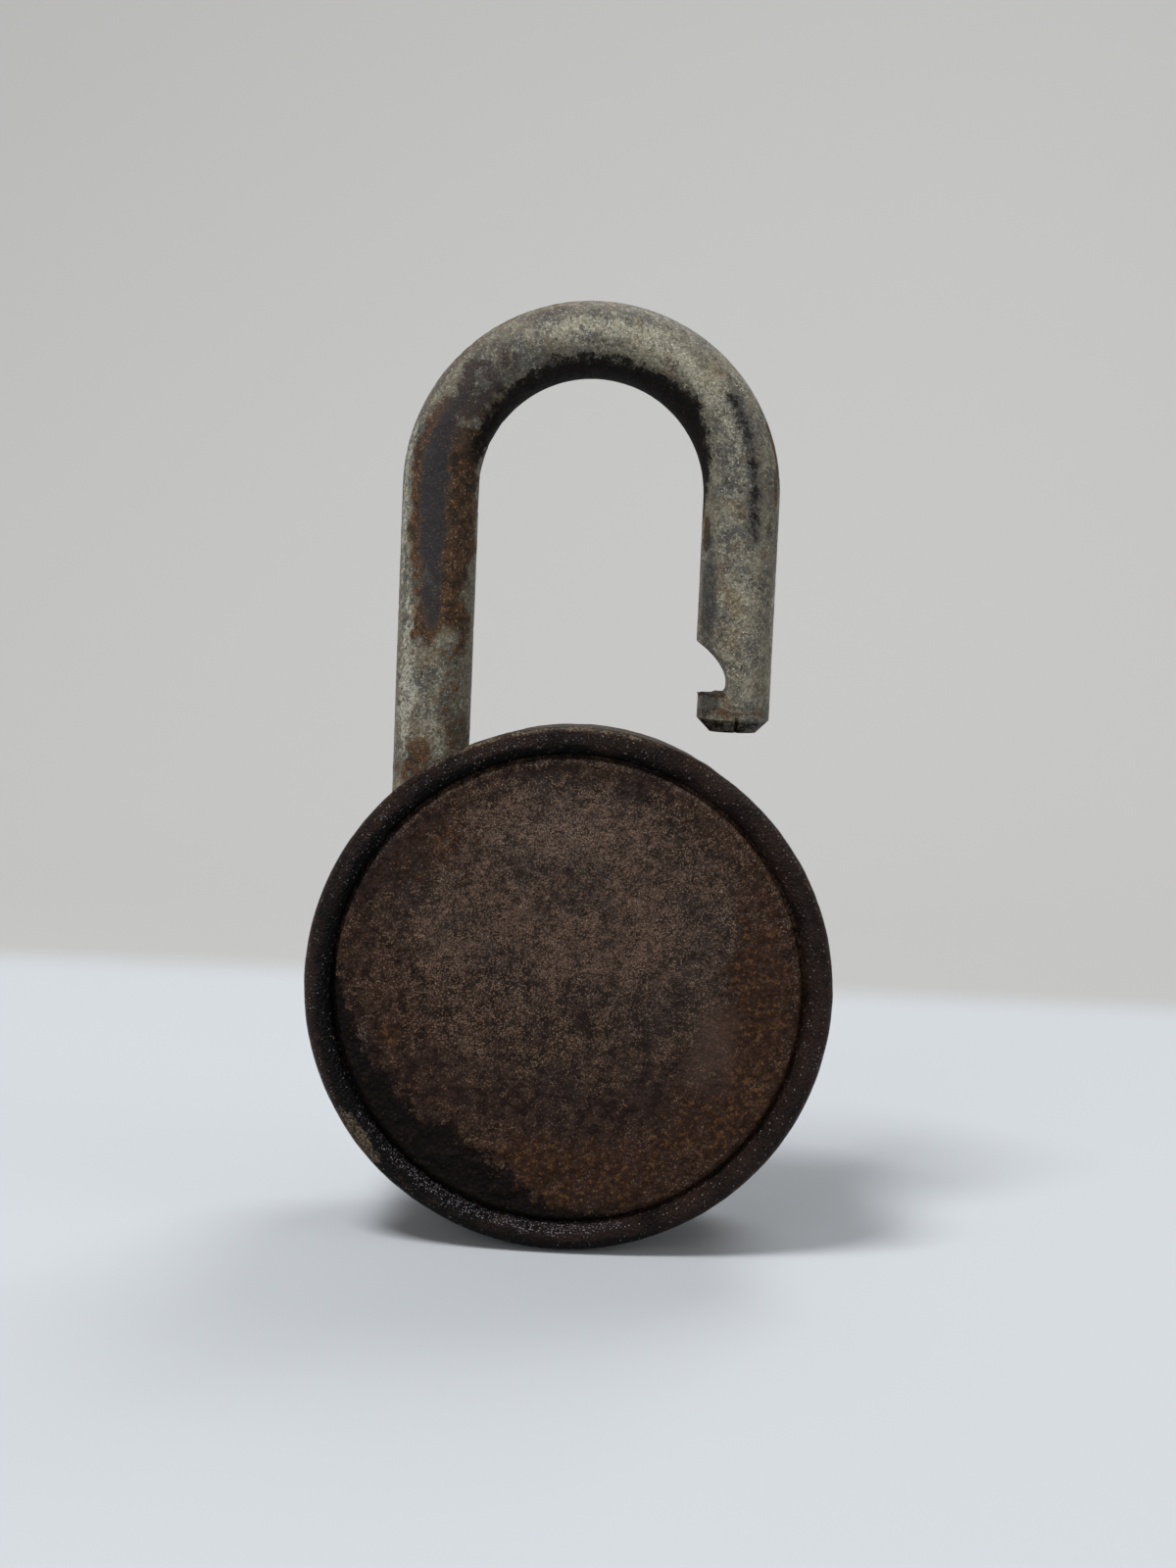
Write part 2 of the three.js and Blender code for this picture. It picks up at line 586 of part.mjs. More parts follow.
/** The lever's spring: a coil round the sleeve, one tail on the lever and one on the shield. */
function leverSpring() {
  const radius = SLEEVE_R + SEAT + LEVER_WIRE_R;
  const fromY = LEVER_Y + LEVER_THICK + SEAT + LEVER_WIRE_R;
  const middle = (LEVER_IN_R + LEVER_R) / 2;
  const onLever = THREE.MathUtils.degToRad(LEVER_TAIL_DEG);
  const onWall = LEVER_POST.angle() + THREE.MathUtils.degToRad(WALL_TAIL_LEAD_DEG);
  const wallR = SHIELD_IN_R - SEAT - LEVER_WIRE_R;
  const points = coil({
    centre: LEVER_POST,
    radius,
    fromY,
    toY: fromY + LEVER_SPRING_LENGTH,
    turns: LEVER_SPRING_TURNS,
    startDeg: LEVER_SPRING_START_DEG,
    tails: [
      [middle * Math.cos(onLever), middle * Math.sin(onLever)],
      [wallR * Math.cos(onWall), wallR * Math.sin(onWall)],
    ],
  });
  return wire(points, LEVER_WIRE_R, WIRE_STEPS);
}

/** The flanged tube that the wheels turn on and the spindle turns in. */
function wheelPost() {
  const tube = ring(POST_BORE_R, POST_R, WHEEL_1_Y - WHEEL_GAP + SEAT, FRONT_Y - SEAT);
  return tube.add(ring(POST_BORE_R, POST_FLANGE_R, POST_FLANGE_Y, POST_FLANGE_Y + POST_FLANGE));
}

/** A driving tab on a disc's face, at an angle that runs from +Z towards +X. */
function tab(fromY, toY, degrees) {
  const low = [-TAB_WIDTH / 2, fromY, TAB_RADIUS - TAB_DEPTH / 2];
  const high = [TAB_WIDTH / 2, toY, TAB_RADIUS + TAB_DEPTH / 2];
  return spun(block(low, high), degrees);
}

/** A gated wheel with its back face at Y = 0, and tabs at the given angles. */
function wheel(backTabDeg, frontTabDeg) {
  const gate = block(
    [WHEEL_R - GATE_DEPTH, -WHEEL_THICK, -GATE_WIDTH / 2],
    [WHEEL_R + CUT_OVER, 2 * WHEEL_THICK, GATE_WIDTH / 2],
  ).rotate([0, THREE.MathUtils.radToDeg(-FENCE_RAD), 0]);
  const disc = ring(WHEEL_BORE_R, WHEEL_R, 0, WHEEL_THICK)
    .subtract(gate)
    .add(tab(-TAB_LENGTH, WHEEL_THICK / 2, backTabDeg));
  return frontTabDeg === null
    ? disc
    : disc.add(tab(WHEEL_THICK / 2, WHEEL_THICK + TAB_LENGTH, frontTabDeg));
}

/** The disc on the spindle's end, whose tab picks up the first wheel. */
function driveCam() {
  const disc = ring(SPINDLE_R + RUN, CAM_R, CAM_Y, CAM_Y + WHEEL_THICK);
  return disc.add(tab(CAM_Y + WHEEL_THICK / 2, CAM_Y + WHEEL_THICK + TAB_LENGTH, CAM_TAB_DEG));
}

/** The shaft from the knob to the cam, with its peened head. */
function spindle() {
  const headY = CAM_Y - SEAT;
  const shaft = ring(0, SPINDLE_R, headY - SPINDLE_HEAD, KNOB_TOP_Y - KNOB_CAP - SEAT);
  return shaft.add(ring(0, SPINDLE_HEAD_R, headY - SPINDLE_HEAD, headY));
}

/** The dished washer that presses the wheels together. */
function wheelSpring() {
  const low = LAST_WHEEL_Y + SEAT;
  const high = POST_FLANGE_Y - SEAT;
  const profile = [
    [WHEEL_BORE_R, high - DISH_SHEET],
    [DISH_R, low],
    [DISH_R, low + DISH_SHEET],
    [WHEEL_BORE_R, high],
  ];
  return turned(profile.map(([r, y]) => new THREE.Vector2(r, y)));
}

/** The numbered disc, flat in the middle and bevelled to its edge. */
function dialPlate() {
  const profile = [
    [SPINDLE_R + RUN, DIAL_Y],
    [DIAL_R, DIAL_Y],
    [DIAL_R, DIAL_Y + DIAL_EDGE],
    [DIAL_BEVEL_R, DIAL_Y + DIAL_THICK],
    [SPINDLE_R + RUN, DIAL_Y + DIAL_THICK],
  ];
  return turned(profile.map(([r, y]) => new THREE.Vector2(r, y)), FINE);
}

/** The knob: a plain collar under a fluted grip, bored for the spindle. */
function dialKnob() {
  const roundY = KNOB_TOP_Y - KNOB_ROUND;
  const profile = new THREE.Path();
  profile.moveTo(0, KNOB_Y);
  profile.lineTo(KNOB_R, KNOB_Y);
  profile.lineTo(KNOB_TOP_R, roundY);
  profile.absarc(KNOB_TOP_R - KNOB_ROUND, roundY, KNOB_ROUND, 0, Math.PI / 2, false);
  profile.lineTo(0, KNOB_TOP_Y);
  const grip = new THREE.LatheGeometry(profile.getPoints(ARC_STEPS), KNOB_FLUTES * FLUTE_STEPS);
  return solid(fluted(grip))
    .add(ring(0, KNOB_COLLAR_R, KNOB_Y, KNOB_Y + KNOB_COLLAR, FINE))
    .subtract(ring(0, SPINDLE_R + RUN, KNOB_Y - CUT_OVER, KNOB_TOP_Y - KNOB_CAP, SMALL));
}

/** Draws a turned grip in towards its axis between the flutes' ridges. */
function fluted(geometry) {
  const corners = geometry.attributes.position;
  for (let i = 0; i < corners.count; i += 1) {
    const [x, y, z] = [corners.getX(i), corners.getY(i), corners.getZ(i)];
    const ridge = Math.abs(Math.cos((KNOB_FLUTES / 2) * Math.atan2(x, z)));
    const share = 1 - (FLUTE_DEPTH / KNOB_R) * (1 - ridge);
    corners.setXYZ(i, x * share, y, z * share);
  }
  return geometry;
}

addPart("outer_case", outerCase(), FINISH.rustedSteel);
addPart("inner_shield", innerShield(), FINISH.innerSteel);
addPart("back_plate", backPlate(), FINISH.rustedSteel);
addPart("shackle", shackle(), FINISH.greySteel);
addPart("heel_collar", heelCollar(), FINISH.innerSteel, [-LEG_X, 0, GROOVE_Z]);
addPart("heel_guide", heelGuide(), FINISH.innerSteel);
rivetPlaces().forEach((place, i) => {
  const rivet = ring(0, RIVET_R, SHIELD_FRONT_Y - RIVET_LENGTH, SHIELD_FRONT_Y, SMALL);
  addPart(`heel_guide_rivet_${i + 1}`, rivet, FINISH.innerSteel, [place.x, 0, place.y]);
});

const leverPlace = [LEVER_POST.x, 0, LEVER_POST.y];
addPart("lever_post", leverPost(), FINISH.innerSteel, leverPlace);
const sleeveY = LEVER_Y + LEVER_THICK + SEAT;
const sleeve = ring(LEVER_POST_R + RUN, SLEEVE_R, sleeveY, INSIDE_FRONT_Y - SEAT, SMALL);
addPart("lever_sleeve", sleeve, FINISH.brass, leverPlace);
const clip = openRing(LEVER_POST_R - CLIP_GROOVE + RUN, CLIP_R, CLIP_THICK, COLLAR_GAP_DEG);
addPart("lever_clip", clip, FINISH.spring, [LEVER_POST.x, LEVER_Y - SEAT - CLIP_THICK / 2, LEVER_POST.y]);
const stop = ring(0, STOP_R, LEVER_Y, SHIELD_FRONT_Y, SMALL);
addPart("lever_stop", stop, FINISH.innerSteel, [stopPlace().x, 0, stopPlace().y]);
addPart("lever_spring", leverSpring(), FINISH.spring);
addPart("fence_lever", fenceLever(), FINISH.innerSteel);

const pivot = [PAWL_PIVOT.x, 0, PAWL_PIVOT.y];
addPart("pawl_pin", pawlPin(), FINISH.innerSteel, pivot);
const pawl = addPart("latch_pawl", latchPawl(), FINISH.innerSteel, pivot);
pawl.rotation.y = -THREE.MathUtils.degToRad(PAWL_DRAWN_DEG);
addPart("pawl_spring", pawlSpring(), FINISH.spring);

addPart("wheel_post", wheelPost(), FINISH.brass);
addPart("wheel_spring", wheelSpring(), FINISH.spring);
for (let n = 1; n <= WHEEL_COUNT; n += 1) {
  const y = WHEEL_1_Y + (n - 1) * (WHEEL_THICK + WHEEL_GAP);
  const backTab = CAM_TAB_DEG + (n === 1 ? WHEEL_1_TAB_LEAD_DEG : TAB_LEAD_DEG);
  addPart(`wheel_${n}`, wheel(backTab, n < WHEEL_COUNT ? CAM_TAB_DEG : null), FINISH.brass, [0, y, 0]);
  const spacer = ring(WHEEL_BORE_R, SPACER_R, RUN - WHEEL_GAP, -RUN);
  addPart(`wheel_spacer_${n}`, spacer, FINISH.innerSteel, [0, y, 0]);
}
addPart("drive_cam", driveCam(), FINISH.brass);
addPart("spindle", spindle(), FINISH.innerSteel);
addPart("dial_washer", ring(POST_HOLE_R, WASHER_R, FRONT_Y + SEAT, DIAL_Y - SEAT), FINISH.innerSteel);
addPart("dial_plate", dialPlate(), FINISH.blackDial);
addPart("dial_knob", dialKnob(), FINISH.blackDial);

export default lock;
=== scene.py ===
"""The looks of a rusty round combination padlock, shackle raised, seen from behind.

Every surface is a grid of points worked out from a formula, in millimetres, and becomes a mesh in metres.
The frame's +Z runs up the shackle's legs, the back plate faces -Y and the dial faces +Y.
"""

import json
import logging
import math
from dataclasses import dataclass, field
from enum import Enum
from typing import Iterable, Optional, Sequence

import bmesh
import bpy
import numpy as np
from mathutils import Matrix, Vector

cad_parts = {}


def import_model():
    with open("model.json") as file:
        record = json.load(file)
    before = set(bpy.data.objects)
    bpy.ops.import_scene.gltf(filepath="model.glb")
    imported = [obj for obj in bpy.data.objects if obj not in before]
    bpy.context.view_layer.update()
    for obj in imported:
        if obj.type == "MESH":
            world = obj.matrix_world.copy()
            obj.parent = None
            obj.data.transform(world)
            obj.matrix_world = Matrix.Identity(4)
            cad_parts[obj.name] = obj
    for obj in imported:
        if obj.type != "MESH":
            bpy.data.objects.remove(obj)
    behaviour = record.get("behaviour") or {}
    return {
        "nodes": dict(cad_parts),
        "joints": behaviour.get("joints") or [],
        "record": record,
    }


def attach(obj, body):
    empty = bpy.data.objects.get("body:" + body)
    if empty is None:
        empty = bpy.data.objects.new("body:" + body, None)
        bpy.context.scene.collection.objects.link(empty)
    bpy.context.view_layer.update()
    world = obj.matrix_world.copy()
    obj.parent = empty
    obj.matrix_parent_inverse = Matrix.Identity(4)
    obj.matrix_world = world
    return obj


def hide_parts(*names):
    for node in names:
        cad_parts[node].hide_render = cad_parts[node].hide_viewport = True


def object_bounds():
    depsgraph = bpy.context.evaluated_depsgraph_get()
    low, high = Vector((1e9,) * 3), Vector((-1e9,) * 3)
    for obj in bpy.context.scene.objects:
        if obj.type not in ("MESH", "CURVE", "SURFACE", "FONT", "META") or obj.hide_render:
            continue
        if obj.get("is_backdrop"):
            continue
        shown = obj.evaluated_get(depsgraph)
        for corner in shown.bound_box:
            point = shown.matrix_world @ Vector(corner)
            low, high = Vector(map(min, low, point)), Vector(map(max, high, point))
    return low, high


MM = 0.001
FLOOR_GAP = 0.0002
MERGE_REACH = 1e-7
COARSE_SHARE = 0.58
EDGE_SPREAD = 3.4
Colour = tuple[float, float, float]
Span = tuple[float, float]
Socket = bpy.types.NodeSocket

log = logging.getLogger("padlock")


class Slot(Enum):
    """The record's material slots."""

    CASE = "case_steel"
    PLATE = "plate_steel"
    SHACKLE = "shackle_steel"
    INNER = "inner_steel"
    BRASS = "wheel_brass"
    SPRING = "spring_steel"
    DIAL = "dial_aluminium"


class Body(Enum):
    """The moving bodies that new pieces ride on."""

    CASE = "case"
    SHACKLE = "shackle"
    DIAL = "dial"


def lattice(corners: np.ndarray, seed: int) -> np.ndarray:
    """A fixed random value from -1 to 1 for each whole-number corner.

    Args:
        corners: whole numbers, the last axis X, Y and Z.
        seed: picks another set of values.

    Returns:
        One value for each corner: its numbers are multiplied by odd constants, mixed and scrambled.
    """
    x, y, z = (corners[..., k].astype(np.uint32) for k in range(3))
    mixed = (x * np.uint32(0x9E3779B1)) ^ (y * np.uint32(0x85EBCA77)) ^ (z * np.uint32(0xC2B2AE3D))
    mixed = mixed + np.uint32(seed * 0x27D4EB2F % 2**32)
    mixed = (mixed ^ (mixed >> np.uint32(15))) * np.uint32(0x2C1B3C6D)
    mixed = (mixed ^ (mixed >> np.uint32(12))) * np.uint32(0x297A2D39)
    mixed = mixed ^ (mixed >> np.uint32(15))
    return mixed.astype(np.float64) / 2**31 - 1


def smooth(value: np.ndarray) -> np.ndarray:
    """Value held between 0 and 1, with a soft start and end."""
    held = np.clip(value, 0, 1)
    return held * held * (3 - 2 * held)


def noise(points: np.ndarray, cell: float, seed: int, octaves: int = 1) -> np.ndarray:
    """Smooth noise from about -1 to 1.

    Args:
        points: places in millimetres, the last axis X, Y and Z.
        cell: size of the largest lumps, in millimetres.
        seed: picks another pattern.
        octaves: how many times half the size is added at half the strength.

    Returns:
        The corner values of cubes of side cell, blended between the corners with a smooth step.
    """
    total = np.zeros(points.shape[:-1])
    strength = 1.0
    reach = 0.0
    for octave in range(octaves):
        scaled = points * (2**octave / cell)
        base = np.floor(scaled).astype(np.int64)
        share = smooth(scaled - base)
        for corner in np.ndindex(2, 2, 2):
            weight = np.prod(np.where(corner, share, 1 - share), axis=-1)
            total += strength * weight * lattice(base + np.array(corner), seed + 17 * octave)
        reach += strength
        strength /= 2
    return total / reach


@dataclass
class Surface:
    """A grid of points in millimetres that closes into a skin.

    Fields:
        points: rows by columns by X, Y and Z.
        around: the last column joins the first.
        looped: the last row joins the first.
        first_pole: a point that closes the first row.
        last_pole: a point that closes the last row.
        dropped: cells left open, rows less one by columns.
        bridges: further four-cornered faces, as numbers of points.
        marks: named values at each point, rows by columns, which the finishes read.
    """

    points: np.ndarray
    around: bool = True
    looped: bool = False
    first_pole: Optional[Sequence[float]] = None
    last_pole: Optional[Sequence[float]] = None
    dropped: Optional[np.ndarray] = None
    bridges: Optional[np.ndarray] = None
    marks: dict[str, np.ndarray] = field(default_factory=dict)

    def numbers(self) -> np.ndarray:
        """The number of each point, rows by columns."""
        return np.arange(self.points.shape[0] * self.points.shape[1]).reshape(self.points.shape[:2])

    def quads(self) -> np.ndarray:
        """The grid's faces, then the bridges.

        Returns:
            Four corners for each cell that isn't left open.
        """
        ids = self.numbers()
        ids = np.concatenate([ids, ids[:, :1]], axis=1) if self.around else ids
        ids = np.concatenate([ids, ids[:1]], axis=0) if self.looped else ids
        corners = np.stack([ids[:-1, :-1], ids[:-1, 1:], ids[1:, 1:], ids[1:, :-1]], axis=-1)
        kept = corners[~self.dropped] if self.dropped is not None else corners.reshape(-1, 4)
        return kept if self.bridges is None else np.concatenate([kept, self.bridges])

    def fans(self) -> tuple[np.ndarray, np.ndarray]:
        """Closes the first and the last row where they have a pole.

        Returns:
            The poles' points, and three corners for each face round them.
        """
        ids = self.numbers()
        poles, faces = [], []
        for row, pole in ((ids[0], self.first_pole), (ids[-1], self.last_pole)):
            if pole is not None:
                centre = np.full(row.shape, ids.size + len(poles))
                faces.append(np.stack([row, np.roll(row, -1), centre], axis=-1))
                poles.append(pole)
        return np.array(poles).reshape(-1, 3), np.concatenate(faces) if faces else np.empty((0, 3), int)

    def build(self, name: str) -> bpy.types.Object:
        """Puts the grid into a mesh in metres, with its faces pointing out.

        Args:
            name: the new object's name.

        Returns:
            The object, at the origin, with its marks as point attributes.
        """
        poles, fans = self.fans()
        places = np.concatenate([self.points.reshape(-1, 3), poles]) * MM
        mesh = bpy.data.meshes.new(name)
        mesh.from_pydata(places.tolist(), [], self.quads().tolist() + fans.tolist())
        closed = [row for row, pole in ((0, self.first_pole), (-1, self.last_pole)) if pole is not None]
        for mark, values in self.marks.items():
            layer = mesh.attributes.new(mark, "FLOAT", "POINT")
            ends = [values[row].mean() for row in closed]
            layer.data.foreach_set("value", np.concatenate([values.ravel(), ends]).astype(np.float32))
        return finished(mesh, name)


def finished(mesh: bpy.types.Mesh, name: str, crease_deg: float = 40.0) -> bpy.types.Object:
    """Turns a mesh's faces outward, shades it smooth apart from sharp edges, and shows it.

    Args:
        mesh: a closed mesh in metres.
        name: the new object's name.
        crease_deg: edges that turn by more than this stay sharp.

    Returns:
        The new object.
    """
    work = bmesh.new()
    work.from_mesh(mesh)
    bmesh.ops.recalc_face_normals(work, faces=work.faces)
    work.to_mesh(mesh)
    work.free()
    mesh.shade_smooth()
    mesh.set_sharp_from_angle(angle=math.radians(crease_deg))
    piece = bpy.data.objects.new(name, mesh)
    bpy.context.scene.collection.objects.link(piece)
    return piece


def outward(points: np.ndarray, around: bool, looped: bool) -> np.ndarray:
    """Unit normals of a grid: the cross product of its two directions.

    Args:
        points: rows by columns by X, Y and Z.
        around: the last column joins the first.
        looped: the last row joins the first.

    Returns:
        Rows by columns by X, Y and Z.
    """
    down = np.roll(points, -1, 0) - np.roll(points, 1, 0) if looped else np.gradient(points, axis=0)
    along = np.roll(points, -1, 1) - np.roll(points, 1, 1) if around else np.gradient(points, axis=1)
    cross = np.cross(down, along)
    length = np.linalg.norm(cross, axis=-1, keepdims=True)
    return cross / np.maximum(length, 1e-9)


def line(start: tuple[float, float], end: tuple[float, float], count: int) -> np.ndarray:
    """Points of radius and height from start to just before end, evenly spaced."""
    share = np.arange(count)[:, None] / count
    return np.array(start) * (1 - share) + np.array(end) * share


def arc(centre: tuple[float, float], radius: float, from_deg: float, to_deg: float, count: int) -> np.ndarray:
    """Points of radius and height on an arc, from one angle to just before the other."""
    angle = np.radians(from_deg + (to_deg - from_deg) * np.arange(count) / count)
    return np.stack([centre[0] + radius * np.cos(angle), centre[1] + radius * np.sin(angle)], axis=-1)


def revolve(profile: np.ndarray, columns: int, centre_z: float) -> np.ndarray:
    """A profile of radius and Y turned round the spindle's axis.

    Args:
        profile: rows of radius and Y.
        columns: how many steps round.
        centre_z: the axis's height.

    Returns:
        Points: X is the radius times the angle's sine, Z its cosine above the axis.
    """
    angle = np.linspace(0, 2 * np.pi, columns, endpoint=False)
    radius, height = profile[:, :1], profile[:, 1:]
    x = radius * np.sin(angle)
    z = radius * np.cos(angle) + centre_z
    return np.stack([x, np.broadcast_to(height, x.shape), z], axis=-1)


@dataclass(frozen=True)
class Stain:
    """A soft-edged oval on a surface's own two coordinates.

    Fields:
        at: its middle.
        half: its half sizes.
        strength: its value in the middle.
        ragged: how far noise shifts its edge, as a share of its half sizes.
    """

    at: tuple[float, float]
    half: tuple[float, float]
    strength: float = 1.0
    ragged: float = 0.35

    def field(self, first: np.ndarray, second: np.ndarray, rough: np.ndarray) -> np.ndarray:
        """Its value at each point: 1 less the distance over the half sizes, shifted by noise, and eased."""
        far = np.hypot((first - self.at[0]) / self.half[0], (second - self.at[1]) / self.half[1])
        return self.strength * smooth((1.4 - far + self.ragged * rough) * 1.15)


def stained(stains: Iterable[Stain], first: np.ndarray, second: np.ndarray, rough: np.ndarray) -> np.ndarray:
    """The strongest of several stains at each point."""
    return np.max([stain.field(first, second, rough) for stain in stains], axis=0)


class Shader:
    """Builds one material's nodes, with its coordinates in millimetres on the piece itself."""

    def __init__(self, name: str) -> None:
        """Makes an empty material with its shader and its coordinates.

        Args:
            name: the material's name.
        """
        self.material = bpy.data.materials.new(name)
        self.material.use_nodes = True
        self.tree = self.material.node_tree
        self.shader = self.tree.nodes["Principled BSDF"]
        place = self.tree.nodes.new("ShaderNodeTexCoord").outputs["Object"]
        scaled = self.tree.nodes.new("ShaderNodeVectorMath")
        scaled.operation = "SCALE"
        scaled.inputs["Scale"].default_value = 1 / MM
        self.tree.links.new(place, scaled.inputs[0])
        self.place = scaled.outputs[0]

    def put(self, target: Socket, value: Socket | float | Sequence[float]) -> None:
        """Links a socket to an input, or sets the input's own value.

        Args:
            target: the input.
            value: a socket, a number, or the numbers of a colour or a vector.
        """
        if isinstance(value, bpy.types.NodeSocket):
            self.tree.links.new(value, target)
        elif isinstance(value, (int, float)):
            target.default_value = value
        else:
            target.default_value = (*value, 1.0) if target.type == "RGBA" else value

    def grain(self, per_mm: float, detail: float = 2.0, rough: float = 0.5, shift: float = 0.0) -> Socket:
        """Noise from 0 to 1.

        Args:
            per_mm: lumps to a millimetre.
            detail: how many finer layers are added.
            rough: how strong the finer layers are.
            shift: moves the pattern, so that two of them don't match.

        Returns:
            The noise.
        """
        node = self.tree.nodes.new("ShaderNodeTexNoise")
        node.inputs["Scale"].default_value = per_mm
        node.inputs["Detail"].default_value = detail
        node.inputs["Roughness"].default_value = rough
        moved = self.tree.nodes.new("ShaderNodeVectorMath")
        moved.operation = "ADD"
        moved.inputs[1].default_value = (shift, 2 * shift, -shift)
        self.tree.links.new(self.place, moved.inputs[0])
        self.tree.links.new(moved.outputs[0], node.inputs["Vector"])
        return node.outputs["Fac"]

    def crystals(self, per_mm: float) -> tuple[Socket, Socket]:
        """Cells like the grains of a crust.

        Args:
            per_mm: cells to a millimetre.

        Returns:
            The distance to the cell's middle, and a random colour for each cell.
        """
        node = self.tree.nodes.new("ShaderNodeTexVoronoi")
        node.inputs["Scale"].default_value = per_mm
        self.tree.links.new(self.place, node.inputs["Vector"])
        return node.outputs["Distance"], node.outputs["Color"]

    def mark(self, name: str) -> Socket:
        """A named value that the mesh carries at its points.

        Args:
            name: the mark's name.

        Returns:
            The value, which is 0 where the mesh has no such mark.
        """
        node = self.tree.nodes.new("ShaderNodeAttribute")
        node.attribute_name = name
        return node.outputs["Fac"]

    def sum(self, *terms: Socket | float) -> Socket:
        """Several values added."""
        return self.chain("ADD", terms)

    def product(self, *terms: Socket | float) -> Socket:
        """Several values multiplied."""
        return self.chain("MULTIPLY", terms)

    def chain(self, operation: str, terms: Sequence[Socket | float]) -> Socket:
        """One operation carried through several values.

        Args:
            operation: the math node's operation.
            terms: the values, in order.

        Returns:
            The result.
        """
        total = terms[0]
        for term in terms[1:]:
            node = self.tree.nodes.new("ShaderNodeMath")
            node.operation = operation
            self.put(node.inputs[0], total)
            self.put(node.inputs[1], term)
            total = node.outputs[0]
        return total

    def ramp(self, value: Socket, low: float, high: float, start: float = 0.0, end: float = 1.0) -> Socket:
        """A value eased from one level to another.

        Args:
            value: what is read.
            low: where the change begins.
            high: where it ends.
            start: the level up to low.
            end: the level from high on.

        Returns:
            The eased level.
        """
        node = self.tree.nodes.new("ShaderNodeMapRange")
        node.interpolation_type = "SMOOTHSTEP"
        self.put(node.inputs["Value"], value)
        for name, number in (("From Min", low), ("From Max", high), ("To Min", start), ("To Max", end)):
            node.inputs[name].default_value = number
        return node.outputs["Result"]

    def spots(self, far: Socket, reach: Span, value: Socket, level: Span, most: float = 1.0) -> Socket:
        """Soft round spots on the middles of the cells that are picked out.

        Args:
            far: distances to the cells' middles.
            reach: the distances at which a spot starts to fade and has gone.
            value: a value for each cell.
            level: the values at which a cell starts to show and shows fully.
            most: the spots' strength.

        Returns:
            0 between the spots, and up to most on them.
        """
        return self.product(self.ramp(far, *reach, 1, 0), self.ramp(value, *level, 0, most))

    def patch(self, mark: str, rough: Socket, edge: float, soft: float, spread: float) -> Socket:
        """A mark whose edge is broken up by noise.

        Args:
            mark: the mark's name.
            rough: noise from 0 to 1.
            edge: the value at the edge.
            soft: how gradual the edge is.
            spread: how far noise moves the edge.

        Returns:
            0 outside and 1 inside.
        """
        shifted = self.sum(self.mark(mark), self.product(self.sum(rough, -0.5), spread))
        return self.ramp(shifted, edge - soft, edge + soft)

    def broken(self, mark: str, coarse: Socket, fine: Socket, edge: float, soft: float) -> Socket:
        """A mark whose edge is ragged at two scales: coarse noise moves it, and fine noise crumbles it."""
        both = self.sum(self.product(coarse, COARSE_SHARE), self.product(fine, 1 - COARSE_SHARE))
        return self.patch(mark, both, edge, soft, EDGE_SPREAD)

    def mix(self, share: Socket | float, first: Socket | Colour, second: Socket | Colour) -> Socket:
        """Blends two colours.

        Args:
            share: how much of the second shows, from 0 to 1.
            first: the colour underneath.
            second: the colour over it.

        Returns:
            The blend.
        """
        node = self.tree.nodes.new("ShaderNodeMix")
        node.data_type = "RGBA"
        self.put(node.inputs["Factor"], share)
        self.put(node.inputs[6], first)
        self.put(node.inputs[7], second)
        return node.outputs[2]

    def relief(self, height: Socket, depth_mm: float) -> None:
        """Lights the surface as if it were raised and pitted.

        Args:
            height: the relief's shape.
            depth_mm: how far a height of 1 stands up, in millimetres.
        """
        node = self.tree.nodes.new("ShaderNodeBump")
        node.inputs["Strength"].default_value = 1.0
        node.inputs["Distance"].default_value = depth_mm * MM
        self.put(node.inputs["Height"], height)
        self.tree.links.new(node.outputs["Normal"], self.shader.inputs["Normal"])

    def finish(
        self, colour: Socket, rough: Socket | float, metal: Socket | float, gloss: float
    ) -> bpy.types.Material:
        """Sets the shader's colour, roughness, metalness and specular level.

        Args:
            colour: the base colour.
            rough: the roughness.
            metal: the metalness.
            gloss: the specular level, the same all over.

        Returns:
            The material.
        """
        self.put(self.shader.inputs["Base Color"], colour)
        self.put(self.shader.inputs["Roughness"], rough)
        self.put(self.shader.inputs["Metallic"], metal)
        self.shader.inputs["Specular IOR Level"].default_value = gloss
        return self.material


